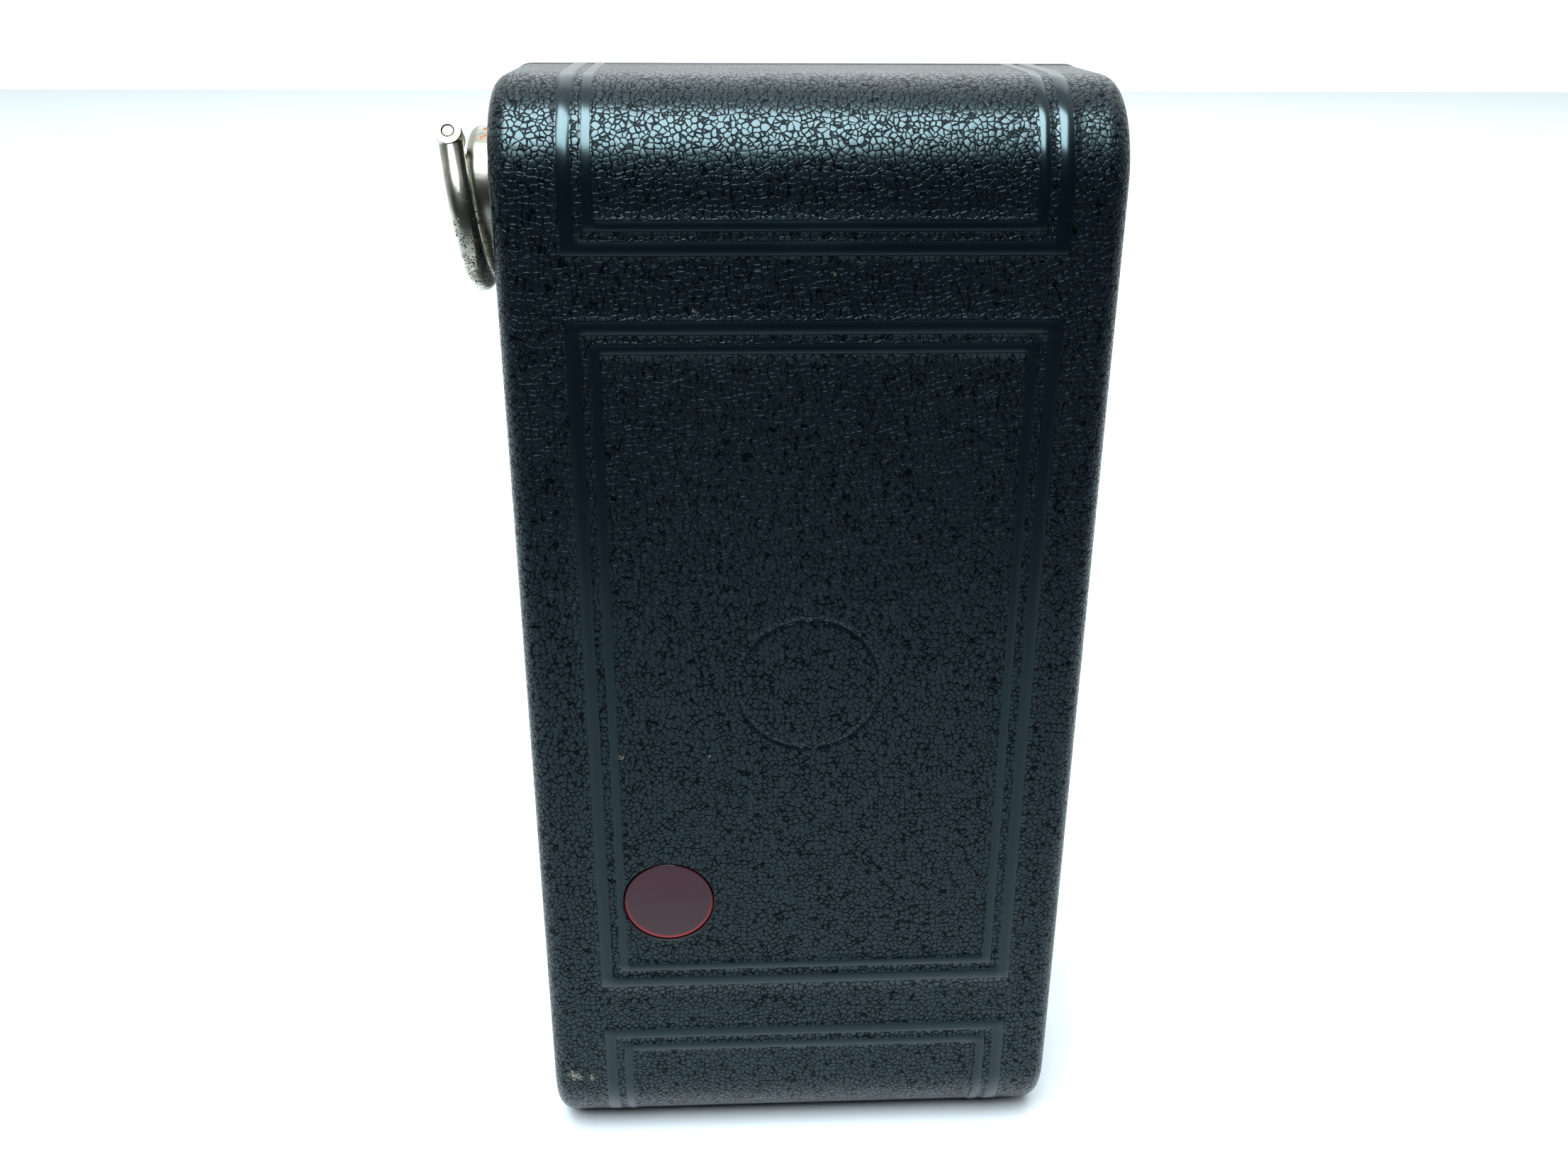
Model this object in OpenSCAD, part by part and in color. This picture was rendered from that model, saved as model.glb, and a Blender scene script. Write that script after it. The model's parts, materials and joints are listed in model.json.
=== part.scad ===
// Folding roll-film camera, shut, standing on its lower end.
// +X is to the right seen from behind, +Y runs forward through the lens, +Z is up.
// The origin is the centre of the flat lower end. All sizes are in millimetres.

/* [Case] */
// Width over the back cover
body_w = 82.5; // [80:0.5:100]
// Height of the case
body_h = 171; // [166:0.5:206]
// Thickness from back leather to front leather
body_t = 33; // [32:0.5:40]
// Radius of the long bends at the two ends of the back
back_r = 13.5; // [11:0.5:15]
// Radius of the rolled side edges of the back cover
edge_r = 3; // [2:0.25:3.5]
// Depth of the cover's side flange
flange_d = 6.5; // [5:0.25:7.5]

/* [Sheet and leather] */
// Thickness of the leather covering
leather_t = 0.6; // [0.4:0.05:0.8]
// Sheet of the back cover
cover_t = 0.6; // [0.5:0.05:0.8]
// Sheet of the frame and of the bed door
plate_t = 0.8; // [0.7:0.05:1]
// Gap between the back cover and the frame it slides over
cover_gap = 0.25; // [0.2:0.05:0.4]

/* [Film] */
// Width of the picture opening
gate_w = 57; // [48:0.5:57.5]
// Height of the picture opening
gate_h = 83; // [70:0.5:84]
// Radius of the film spool's flanges
spool_r = 12.6; // [11.5:0.1:12.8]
// Overall length of the film spool
spool_len = 65.8; // [60:0.1:66.5]
// Radius of the film spool's core
spool_core_r = 6; // [4.6:0.1:8]
// Radius of the film guide rollers
roller_r = 2.5; // [2:0.1:2.6]

/* [Window] */
// Radius of the hole for the red window
window_r = 7.3; // [5:0.1:9]
// Red window's centre, to the left of the middle
window_x = 21.2; // [17:0.1:22]
// Red window's centre above the lower end
window_z = 49; // [47:0.5:60]

/* [Winding key] */
// Radius of the key's boss
boss_r = 8; // [6.5:0.1:8.2]
// Height of the key's boss
boss_h = 4.3; // [4:0.1:5]
// Radius of the wire in the key's folding loop
loop_rod_r = 1.55; // [1.2:0.05:1.6]
// Length of the folding loop from its pin to the middle of its bend
loop_len = 15.4; // [14.5:0.1:18]
// Angle by which the key stands turned when the camera rests
key_rest_turn = 30; // [0:5:45]

/* [Bed door] */
// Width of the bed door
door_w = 67.8; // [66.5:0.1:69]
// Radius of the bed door's hinge knuckles
hinge_r = 2; // [1.7:0.05:2.1]
// Width of the folding foot
foot_w = 16; // [12:0.5:24]

/* [Lens panel] */
// Forward travel of the lens panel from shut to open
draw = 78; // [70:0.5:80]
// Radius of the shutter case
shutter_r = 19.5; // [17:0.25:19.75]
// Depth of the shutter case
shutter_d = 7.5; // [6:0.1:7.8]
// Width of the lens panel
panel_w = 54.4; // [50:0.2:54.8]
// Height of the lens panel
panel_h = 56; // [50:0.5:57]

/* [Fits] */
// Radial clearance of a turning pin in its hole
run_fit = 0.05; // [0.03:0.01:0.1]
// Gap between neighbouring parts that move
slide_gap = 0.2; // [0.15:0.05:0.3]

/* [Hidden] */
$fn = 48;
eps = 0.01;
bite = 0.5;

y_back = -body_t / 2;
y_front = body_t / 2;
wrap_t = leather_t + cover_t;
inset = wrap_t + cover_gap;
y_plate = y_front - leather_t - plate_t;
cover_front_y = y_plate - slide_gap;
side_x = body_w / 2 - inset;
// The side plates keep clear of the round inside corner of the cover's rolled edge.
corner_gap = 0.15;
plate_inset = edge_r - sqrt(pow(edge_r - wrap_t, 2) - pow(edge_r - inset, 2)) + corner_gap;
side_in_x = side_x - plate_t;
panel_skin_x = side_x + leather_t;
mid_z = body_h / 2;

spool_clear = 1.2;
spool_y = y_back + wrap_t + spool_clear + spool_r;
spool_low_z = wrap_t + spool_clear + spool_r;
spool_top_z = body_h - spool_low_z;
flange_t = 1.2;
spool_bore_r = 2.9;
spool_slot_w = 1.8;
spool_slot_l = 8.6;

film_y = y_back + wrap_t + 3.2;
gate_y = film_y + 0.2;
gate_front_y = gate_y + plate_t;
gate_plate_h = gate_h + 8;
roller_y = film_y + roller_r;
roller_dz = gate_plate_h / 2 + roller_r + 0.6;
roller_pin_r = 1;
roller_len = 62;
lug_t = 1;
lug_x = roller_len / 2 + slide_gap;

box_in_x = door_w / 2 + 0.3;
box_t = 0.6;
wall_low_z = spool_low_z + spool_r + spool_clear;
opening_low_z = wall_low_z + box_t + 0.5;
hinge_pin_r = 0.65;
// The knuckles stay behind the front face, and the rod's ends stay behind the front plate.
hinge_y = min(y_front - hinge_r - 0.1, y_plate - hinge_pin_r - 0.05);
hinge_z = opening_low_z + hinge_r + 0.3;
opening_top_z = body_h - wall_low_z - box_t - 0.4;
door_top_z = opening_top_z - 0.4;
door_in_y = y_plate;
door_flange_d = 2.2;
knuckles = 5;
knuckle_gap = 0.3;
knuckle_l = (door_w - 2) / knuckles;

panel_back_y = gate_front_y + plate_t + 9.2;
panel_y = panel_back_y + 1;
lens_z = mid_z;
panel_low_z = lens_z - panel_h / 2;
ear_r = 2;
ear_t = 0.8;
strut_t = 0.8;
strut_pin_r = 0.8;
layer_gap = 0.2;
ear_out_x = panel_w / 2 + ear_t;
strut_in_x = ear_out_x + layer_gap;
strut_out_x = strut_in_x + strut_t;
lug_in_x = strut_out_x + layer_gap;

// The strut's two pins: b on the lens panel, a on the bed door at the distance where one length
// fits both the shut and the open position.
strut_b_y = panel_y + 1;
strut_b_h = panel_low_z + 5.5 - hinge_z;
strut_off = 3.3;
strut_dy = hinge_y - strut_off - strut_b_y;
strut_dz = strut_off - strut_b_h;
strut_far = strut_b_y + draw - hinge_y;
strut_a_h = (strut_far * strut_far + strut_dz * strut_dz - strut_dy * strut_dy - strut_b_h * strut_b_h)
    / (2 * (strut_far - strut_b_h));
strut_len = norm([strut_dy, strut_a_h - strut_b_h]);

// The side brace's two arms: p on the case, q on the bed door, e where the arms meet.
brace_t = 0.8;
brace_pin_r = 0.8;
brace_end_r = 2;
arm_out_x = door_w / 2 - plate_t - 0.1;
arm_mid_x = arm_out_x - brace_t - layer_gap / 2;
brace_off = 2.6;
brace_p = [6, 22];
brace_q = [hinge_y - brace_off, 31];
brace_q_open = [hinge_y + brace_q[1], brace_off];
brace_reach = norm(brace_q_open - brace_p) + 0.3;
arm_low = brace_reach * 0.547;
arm_top = brace_reach - arm_low;
brace_span = norm(brace_q - brace_p);
brace_angle = atan2(brace_q[1] - brace_p[1], brace_q[0] - brace_p[0])
    + acos((arm_low * arm_low + brace_span * brace_span - arm_top * arm_top) / (2 * arm_low * brace_span));
brace_e = brace_p + arm_low * [cos(brace_angle), sin(brace_angle)];

boss_x = panel_skin_x + 0.3;
key_shaft_r = 2.4;
blade_t = 1.4;
blade_w = 7.6;
blade_in = 3;
bush_r = 4.2;
key_pin_r = 0.8;
loop_half = boss_r + loop_rod_r + 0.25;
loop_pin_x = boss_x + boss_h + 1.5;
loop_pin_z = 2.9;
loop_rest_x = body_w / 2 + 1.3 + loop_rod_r;
loop_tilt = asin((loop_pin_x - loop_rest_x) / loop_len);
lug_half = 3;
lug_r = 1.4;

finder_x = -19;
finder_z = lens_z + 24.5;
finder_w = 11;
finder_d = 10;
foot_z = hinge_z + 100;
foot_knuckle_r = 1;
foot_y = y_front - leather_t + foot_knuckle_r + 0.1;
foot_len = hinge_z - (foot_y - hinge_y) - 0.4;
foot_t = 0.9;
button_z = (opening_top_z + body_h) / 2 - 1;
button_r = 3;
tripod_r = 2.6;
tripod_depth = 4.6;

// ---- helpers ----

module rod_x(r, x0, x1, y, z) {
    translate([min(x0, x1), y, z]) rotate([0, 90, 0]) cylinder(r = r, h = abs(x1 - x0));
}

module rod_y(r, y0, y1, x, z) {
    translate([x, y1, z]) rotate([90, 0, 0]) cylinder(r = r, h = y1 - y0);
}

module box_between(low, high) {
    translate(low) cube(high - low);
}

module both_sides() {
    children();
    mirror([1, 0, 0]) children();
}

// A 2D outline in the Y-Z plane made into a sheet from x0 to x1.
module sheet_x(x0, x1) {
    translate([x0, 0, 0]) rotate([90, 0, 90]) linear_extrude(x1 - x0) children();
}

// A 2D outline in the X-Z plane made into a sheet from y0 to y1.
module sheet_y(y0, y1) {
    translate([0, y1, 0]) rotate([90, 0, 0]) linear_extrude(y1 - y0) children();
}

module rounded_rect(low, high, r) {
    translate([low[0] + r, low[1]]) square([high[0] - low[0] - 2 * r, high[1] - low[1]]);
    translate([low[0], low[1] + r]) square([high[0] - low[0], high[1] - low[1] - 2 * r]);
    for (x = [low[0] + r, high[0] - r], z = [low[1] + r, high[1] - r]) translate([x, z]) circle(r);
}

// A flat bar with round ends between two points, as a 2D outline.
module bar(p, q, r) {
    d = q - p;
    for (c = [p, q]) translate(c) circle(r);
    translate(p) rotate(atan2(d[1], d[0])) translate([0, -r]) square([norm(d), 2 * r]);
}

// The side view of the case, drawn in by off from its outside.
module case_profile(off, y_end) {
    r = back_r - off;
    low = off;
    high = body_h - off;
    y0 = y_back + off;
    translate([y0 + r, low]) square([y_end - y0 - r, high - low]);
    translate([y0, low + r]) square([r + eps, high - low - 2 * r]);
    for (z = [low + r, high - r]) translate([y0 + r, z]) circle(r);
}

// Half-open tray section: u is across the case, v runs inwards from the outer surface.
module tray_outline(w, r, d) {
    translate([-w / 2, r]) square([w, d - r]);
    translate([-w / 2 + r, 0]) square([w - 2 * r, r + eps]);
    for (u = [-w / 2 + r, w / 2 - r]) translate([u, r]) circle(r);
}

module tray_section(w, r, t, d) {
    difference() {
        tray_outline(w, r, d);
        translate([0, t]) tray_outline(w - 2 * t, r - t, d);
    }
}

// The tray section carried round the lower end, the back and the upper end.
module wrapped_tray(off, t) {
    w = body_w - 2 * off;
    r = edge_r - off;
    d = flange_d - off;
    bend = back_r - off;
    y0 = y_back + off;
    end_l = cover_front_y - y0 - bend;
    translate([0, y0, off + bend]) linear_extrude(body_h - 2 * (off + bend)) tray_section(w, r, t, d);
    for (top = [0, 1]) translate([0, 0, top * body_h]) mirror([0, 0, top]) {
        translate([0, cover_front_y, off]) rotate([90, 0, 0]) linear_extrude(end_l) tray_section(w, r, t, d);
        translate([0, y0 + bend, off + bend]) mirror([0, 1, 0]) rotate([0, 90, 0])
            rotate_extrude(angle = 90) translate([bend, 0]) rotate(90) tray_section(w, r, t, d);
    }
}

// ---- back cover ----

module cover_shell() {
    color("#1c1d1e") difference() {
        wrapped_tray(leather_t, cover_t);
        rod_y(window_r - 0.1, y_back - 1, y_back + 5, -window_x, window_z);
    }
}

module cover_leather() {
    color("#15191b") difference() {
        wrapped_tray(0, leather_t);
        rod_y(window_r, y_back - 1, y_back + 5, -window_x, window_z);
    }
}

module window_disc() {
    color("#7a1010") {
        rod_y(window_r - 0.35, y_back + 0.35, y_back + wrap_t + eps, -window_x, window_z);
        rod_y(window_r + 1.8, y_back + wrap_t, y_back + wrap_t + 0.4, -window_x, window_z);
    }
}

module window_ring() {
    y0 = y_back + wrap_t;
    color("#3a3a38") difference() {
        union() {
            rod_y(window_r + 3.2, y0, y0 + 0.8, -window_x, window_z);
            for (side = [-1, 1]) rod_y(0.9, y0, y0 + 1.2, -window_x, window_z + side * (window_r + 2.5));
        }
        rod_y(window_r - 0.5, y0 - 1, y0 + 2, -window_x, window_z);
        rod_y(window_r + 1.8, y0 - 1, y0 + 0.4, -window_x, window_z);
    }
}

module pressure_plate() {
    y1 = film_y - 0.3;
    color("#202224") difference() {
        sheet_y(y1 - 0.6, y1) rounded_rect([-31, mid_z - gate_plate_h / 2], [31, mid_z + gate_plate_h / 2], 3);
        rod_y(window_r + 0.4, y1 - 2, y1 + 1, -window_x, window_z);
    }
}

module pressure_springs() {
    y0 = y_back + wrap_t;
    y1 = film_y - 0.9;
    bow = y1 - y0;
    color("#b9b6ab") for (x = [-4, 16]) translate([x, 0, mid_z]) sheet_x(-3, 3) {
        translate([y0, -2]) square([0.3, 4]);
        for (s = [-1, 1]) polygon([[y0, 0], [y0 + 0.3, 0], [y0 + bow, s * 22], [y0 + bow - 0.3, s * 22]]);
    }
}

// ---- frame ----

module side_plate_shape() {
    difference() {
        sheet_x(side_in_x, side_x) case_profile(plate_inset, y_plate);
        for (z = [spool_low_z, spool_top_z])
            rod_x(bush_r + run_fit, side_in_x - 1, side_x + 1, spool_y, z);
    }
}

module side_plate_left() {
    color("#2b2d2e") mirror([1, 0, 0]) side_plate_shape();
}

module side_plate_right() {
    color("#2b2d2e") difference() {
        side_plate_shape();
        rod_x(4, side_in_x - 1, side_x + 1, 0, mid_z);
    }
}

module side_leather_shape(hole_r) {
    difference() {
        sheet_x(side_x, panel_skin_x) case_profile(flange_d + 0.3, y_plate);
        for (z = [spool_low_z, spool_top_z]) rod_x(hole_r, side_x - 1, side_x + 2, spool_y, z);
    }
}

module side_leather_left() {
    color("#15191b") mirror([1, 0, 0]) side_leather_shape(5.4);
}

module side_leather_right() {
    color("#15191b") difference() {
        side_leather_shape(5.4);
        rod_x(6.2, side_x - 1, side_x + 2, 0, mid_z);
    }
}

module front_outline(off) {
    rounded_rect([-body_w / 2 + off, off], [body_w / 2 - off, body_h - off], edge_r);
}

module door_opening(grow) {
    translate([-box_in_x - grow, opening_low_z - grow])
        square([2 * (box_in_x + grow), opening_top_z - opening_low_z + 2 * grow]);
}

module front_plate() {
    color("#232526") difference() {
        sheet_y(y_plate, y_plate + plate_t) difference() {
            front_outline(0);
            door_opening(0);
        }
        rod_y(button_r + 0.1, y_plate - 1, y_front + 1, 0, button_z);
    }
}

module front_leather() {
    color("#15191b") difference() {
        sheet_y(y_plate + plate_t, y_front) difference() {
            front_outline(0.4);
            door_opening(0.1);
        }
        rod_y(button_r + 0.6, y_plate - 1, y_front + 1, 0, button_z);
    }
}

module chamber_wall(t) {
    back_z = mid_z - gate_plate_h / 2 - 0.5;
    kink_y = panel_back_y + 1.5;
    polygon([
        [gate_y, back_z], [kink_y, back_z], [kink_y + 5.5, wall_low_z], [y_plate - t - 0.3, wall_low_z],
        [y_plate - t - 0.3, wall_low_z + t], [kink_y + 5.5 + 0.3, wall_low_z + t],
        [kink_y + 0.3, back_z + t], [gate_y, back_z + t]
    ]);
}

module chamber_wall_bottom() {
    back_z = mid_z - gate_plate_h / 2;
    color("#1d1f20") difference() {
        sheet_x(-side_in_x, side_in_x) difference() {
            chamber_wall(box_t);
            translate([y_back, back_z - 1]) square([gate_front_y - y_back, 5]);
        }
        both_sides() box_between([lug_x - 0.1, gate_y, back_z - 1],
                                 [lug_x + lug_t + 0.1, roller_y + roller_pin_r + 1.1, back_z + 1]);
    }
}

module chamber_wall_top() {
    translate([0, 0, body_h]) mirror([0, 0, 1]) chamber_wall_bottom();
}

module box_sides() {
    low = wall_low_z + box_t;
    back_z = mid_z - gate_plate_h / 2;
    kink_y = panel_back_y + 1.5;
    color("#1d1f20") both_sides() difference() {
        sheet_x(box_in_x, box_in_x + box_t) polygon([
            [gate_front_y, back_z + box_t], [kink_y + 0.4, back_z + box_t], [kink_y + 6, low], [y_plate, low],
            [y_plate, body_h - low], [kink_y + 6, body_h - low], [kink_y + 0.4, body_h - back_z - box_t],
            [gate_front_y, body_h - back_z - box_t]
        ]);
        rod_x(brace_pin_r, box_in_x - 1, box_in_x + 1, brace_p[0], hinge_z + brace_p[1]);
        rod_x(hinge_pin_r, box_in_x - 1, box_in_x + 1, hinge_y, hinge_z);
    }
}

module gate_plate() {
    z0 = mid_z - gate_plate_h / 2;
    z1 = mid_z + gate_plate_h / 2;
    half = lug_x + lug_t;
    color("#1a1b1c") {
        sheet_y(gate_y, gate_front_y) difference() {
            translate([-half, z0]) square([2 * half, z1 - z0]);
            translate([-gate_w / 2, mid_z - gate_h / 2]) square([gate_w, gate_h]);
        }
        both_sides() for (s = [-1, 1]) difference() {
            sheet_x(lug_x, lug_x + lug_t) {
                translate([roller_y, mid_z + s * roller_dz]) circle(roller_pin_r + 1);
                translate([gate_y, mid_z + min(s * roller_dz, s * (gate_plate_h / 2 - 1))])
                    square([roller_y - gate_y + roller_pin_r + 1, roller_dz - gate_plate_h / 2 + 1]);
            }
            rod_x(roller_pin_r + run_fit, lug_x - 1, lug_x + 2, roller_y, mid_z + s * roller_dz);
        }
    }
}

module film_roller(z) {
    color("#c4c1b6") {
        rod_x(roller_r, -roller_len / 2, roller_len / 2, roller_y, z);
        rod_x(roller_pin_r, -lug_x - lug_t - 0.2, lug_x + lug_t + 0.2, roller_y, z);
    }
}

module film_roller_top() {
    film_roller(mid_z + roller_dz);
}

module film_roller_bottom() {
    film_roller(mid_z - roller_dz);
}

module cover_detents() {
    color("#b9b6ab") both_sides() for (z = [mid_z - 30, mid_z + 30]) {
        box_between([side_in_x - 0.3, y_back + flange_d, z - 3], [side_in_x, y_back + flange_d + 12, z + 3]);
        rod_x(0.8, side_in_x - 0.7, side_in_x, y_back + flange_d + 9, z);
    }
}

module bush_shape(flange_r, bore_r) {
    difference() {
        union() {
            rod_x(bush_r, side_in_x - 1, side_x + eps, spool_y, spool_top_z);
            rod_x(flange_r, side_x, panel_skin_x + 0.1, spool_y, spool_top_z);
        }
        rod_x(bore_r, side_in_x - 2, panel_skin_x + 2, spool_y, spool_top_z);
    }
}

module key_bush() {
    color("#a8a496") mirror([1, 0, 0]) bush_shape(5.2, key_shaft_r + run_fit);
}

module idle_spool_pin() {
    color("#b9b6ab") mirror([1, 0, 0]) {
        rod_x(bush_r, side_in_x - 1, panel_skin_x, spool_y, spool_low_z);
        rod_x(spool_bore_r - 0.4, spool_len / 2 - blade_in, side_in_x, spool_y, spool_low_z);
    }
}

module spool_pin(z) {
    rod_x(spool_bore_r - 0.4, spool_len / 2 - blade_in, panel_skin_x + 0.4, spool_y, z);
    rod_x(bush_r - 0.3, spool_len / 2 + 0.6, spool_len / 2 + 1.1, spool_y, z);
    difference() {
        rod_x(4.6, panel_skin_x + 0.1, panel_skin_x + 0.75, spool_y, z);
        rotate_copies_x(12, z) rod_x(0.35, panel_skin_x, panel_skin_x + 3, spool_y, z + 4.6);
    }
}

module rotate_copies_x(n, z) {
    for (i = [0 : n - 1]) translate([0, spool_y, z]) rotate([i * 360 / n, 0, 0]) translate([0, -spool_y, -z])
        children();
}

module spool_pin_top() {
    color("#c4c1b6") spool_pin(spool_top_z);
}

module spool_pin_bottom() {
    color("#c4c1b6") spool_pin(spool_low_z);
}

module pin_spring(z) {
    wire_r = 0.25;
    low = spool_len / 2 + 1.1 + wire_r;
    turns = 4;
    pitch = (side_in_x - wire_r - low) / (turns - 1);
    color("#8f8d86") for (i = [0 : turns - 1]) translate([low + i * pitch, spool_y, z]) rotate([0, 90, 0])
        rotate_extrude() translate([3.3, 0]) circle(wire_r, $fn = 16);
}

module pin_spring_top() {
    pin_spring(spool_top_z);
}

module pin_spring_bottom() {
    pin_spring(spool_low_z);
}

module tripod_bush() {
    color("#c4c1b6") difference() {
        union() {
            rod_x(4, side_in_x - tripod_depth + plate_t, side_x + eps, 0, mid_z);
            rod_x(6, side_x, panel_skin_x + 0.2, 0, mid_z);
        }
        rod_x(tripod_r, panel_skin_x + 0.2 - tripod_depth, panel_skin_x + 1, 0, mid_z);
    }
}

module case_screws() {
    z_far = mid_z - flange_d - back_r + 3;
    color("#c4c1b6") both_sides() for (s = [-1, 1]) difference() {
        rod_x(1.8, panel_skin_x, panel_skin_x + 0.45, y_plate - 4, mid_z + s * z_far);
        box_between([panel_skin_x + 0.2, y_plate - 6, mid_z + s * z_far - 0.2],
                    [panel_skin_x + 1, y_plate - 2, mid_z + s * z_far + 0.2]);
    }
}

// ---- winding key and take-up spool ----

module key_shaft() {
    x_in = spool_len / 2 + 0.4;
    color("#a8a496") mirror([1, 0, 0]) {
        rod_x(key_shaft_r, x_in, boss_x + boss_h - 1, spool_y, spool_top_z);
        box_between([spool_len / 2 - blade_in, spool_y - blade_t / 2, spool_top_z - blade_w / 2],
                    [x_in + eps, spool_y + blade_t / 2, spool_top_z + blade_w / 2]);
    }
}

// Places a child on the key's axle, turned as the key stands at rest.
module on_key() {
    mirror([1, 0, 0]) translate([0, spool_y, spool_top_z]) rotate([-key_rest_turn, 0, 0]) children();
}

module key_boss() {
    round_r = 1.5;
    color("#cfccc0") on_key() difference() {
        union() {
            translate([boss_x, 0, 0]) rotate([0, 90, 0]) rotate_extrude() {
                square([boss_r, boss_h - round_r]);
                square([boss_r - round_r, boss_h]);
                translate([boss_r - round_r, boss_h - round_r]) circle(round_r);
            }
            sheet_y(-lug_half, lug_half) {
                translate([loop_pin_x, loop_pin_z]) circle(lug_r);
                translate([boss_x + 2, loop_pin_z - lug_r]) square([loop_pin_x - boss_x - 2, 2 * lug_r]);
            }
        }
        rod_x(key_shaft_r, boss_x - 1, boss_x + boss_h - 1, 0, 0);
        rod_y(key_pin_r, -loop_half, loop_half, loop_pin_x, loop_pin_z);
    }
}

module key_pin() {
    half = loop_half + loop_rod_r;
    color("#b2aea2") on_key() rod_y(key_pin_r, -half, half, loop_pin_x, loop_pin_z);
}

// The loop hangs from its pin, tilted in towards the case. Its arms pass outside the boss.
module key_loop() {
    straight = loop_len - loop_half;
    eye_r = loop_rod_r + 0.2;
    color("#cfccc0") on_key() translate([loop_pin_x, 0, loop_pin_z]) rotate([0, loop_tilt, 0]) difference() {
        union() {
            for (s = [-1, 1]) {
                translate([0, s * loop_half, -straight]) cylinder(r = loop_rod_r, h = straight);
                translate([0, s * loop_half + loop_rod_r + 0.1, 0]) rotate([90, 0, 0])
                    cylinder(r = eye_r, h = 2 * loop_rod_r + 0.2);
            }
            translate([0, 0, -straight]) rotate([0, 90, 0]) rotate([0, 0, -90])
                rotate_extrude(angle = 180) translate([loop_half, 0]) circle(loop_rod_r);
        }
        translate([0, 30, 0]) rotate([90, 0, 0]) cylinder(r = key_pin_r + run_fit, h = 60);
    }
}

module spool_core() {
    half = spool_len / 2 - flange_t;
    color("#6b5138") difference() {
        rod_x(spool_core_r, -half, half, spool_y, spool_top_z);
        rod_x(spool_bore_r, -half - 1, -half + 4, spool_y, spool_top_z);
        rod_x(spool_bore_r, half - 4, half + 1, spool_y, spool_top_z);
        box_between([-half - 1, spool_y - spool_slot_w / 2, spool_top_z - spool_slot_l / 2],
                    [-half + 4, spool_y + spool_slot_w / 2, spool_top_z + spool_slot_l / 2]);
    }
}

module spool_flanges() {
    color("#1e1f20") both_sides() difference() {
        rod_x(spool_r, spool_len / 2 - flange_t, spool_len / 2, spool_y, spool_top_z);
        rod_x(spool_bore_r, 0, spool_len, spool_y, spool_top_z);
        box_between([0, spool_y - spool_slot_w / 2, spool_top_z - spool_slot_l / 2],
                    [spool_len, spool_y + spool_slot_w / 2, spool_top_z + spool_slot_l / 2]);
    }
}

// ---- bed door ----

module door_plate() {
    half = door_w / 2;
    low = hinge_z + hinge_r + 0.2;
    color("#232526") {
        difference() {
            box_between([-half, door_in_y, low - 1.2], [half, door_in_y + plate_t, door_top_z]);
            rod_x(hinge_r, -half - 1, half + 1, hinge_y, hinge_z);
        }
        both_sides() difference() {
            box_between([half - plate_t, door_in_y - door_flange_d - 0.6, low + 1], [half, door_in_y + eps, door_top_z]);
            rod_x(brace_pin_r, half - 2, half + 1, brace_q[0], hinge_z + brace_q[1]);
            box_between([half - 2, door_in_y - 5, hinge_z + brace_q[1] + 6],
                        [half + 1, door_in_y - door_flange_d + 0.6, door_top_z + 1]);
            box_between([half - 2, door_in_y - 5, low - 1], [half + 1, door_in_y - door_flange_d + 0.6,
                        hinge_z + brace_q[1] - 6]);
        }
        both_sides() sheet_x(half - plate_t, half) difference() {
            translate([brace_q[0], hinge_z + brace_q[1]]) circle(2.4);
            translate([brace_q[0], hinge_z + brace_q[1]]) circle(brace_pin_r);
        }
    }
}

module door_leather() {
    half = door_w / 2 - 0.3;
    low = hinge_z + hinge_r + 0.3;
    color("#15191b") sheet_y(door_in_y + plate_t, y_front) difference() {
        rounded_rect([-half, low], [half, door_top_z - 0.3], 0.8);
        translate([-foot_w / 2 - 0.5, foot_z - foot_len - 0.5]) square([foot_w + 1, foot_len + 4.5]);
    }
}

// One row of hinge knuckles: every second place along the rod, from first.
module knuckle_row(first, bore_r) {
    for (i = [first : 2 : knuckles - 1]) {
        x0 = -knuckles * knuckle_l / 2 + i * knuckle_l + knuckle_gap / 2;
        difference() {
            union() {
                rod_x(hinge_r, x0, x0 + knuckle_l - knuckle_gap, hinge_y, hinge_z);
                translate([x0, 0, 0]) children();
            }
            rod_x(bore_r, x0 - 1, x0 + knuckle_l + 1, hinge_y, hinge_z);
        }
    }
}

module door_knuckles() {
    color("#34363a") knuckle_row(0, hinge_pin_r + run_fit) difference() {
        box_between([0, door_in_y - 0.7, hinge_z], [knuckle_l - knuckle_gap, door_in_y, hinge_z + 7]);
        rod_x(hinge_r - 0.3, -1, knuckle_l + 1, hinge_y, hinge_z);
    }
}

module hinge_leaf() {
    color("#34363a") {
        knuckle_row(1, hinge_pin_r) box_between([0, y_plate - 0.6, opening_low_z - 5],
                                                [knuckle_l - knuckle_gap, y_plate, hinge_z - hinge_r + 0.8]);
        box_between([-knuckles * knuckle_l / 2, y_plate - 0.6, opening_low_z - 5],
                    [knuckles * knuckle_l / 2, y_plate, opening_low_z - 1]);
    }
}

module hinge_rod() {
    color("#8f8d86") rod_x(hinge_pin_r, -box_in_x - box_t, box_in_x + box_t, hinge_y, hinge_z);
}

module door_latch() {
    color("#c4c1b6") {
        box_between([-5, door_in_y - 0.8, door_top_z - 9], [5, door_in_y, door_top_z - 1]);
        box_between([-3, door_in_y - 3.4, door_top_z - 2.2], [3, door_in_y - 0.8 + eps, door_top_z - 1]);
    }
}

module release_button() {
    color("#c4c1b6") {
        rod_y(button_r, y_plate - 1.6, y_front + 0.9, 0, button_z);
        box_between([-4, y_plate - 2.4, button_z - 3.4], [4, y_plate - 1.6 + eps, button_z + 3.4]);
    }
}

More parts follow.
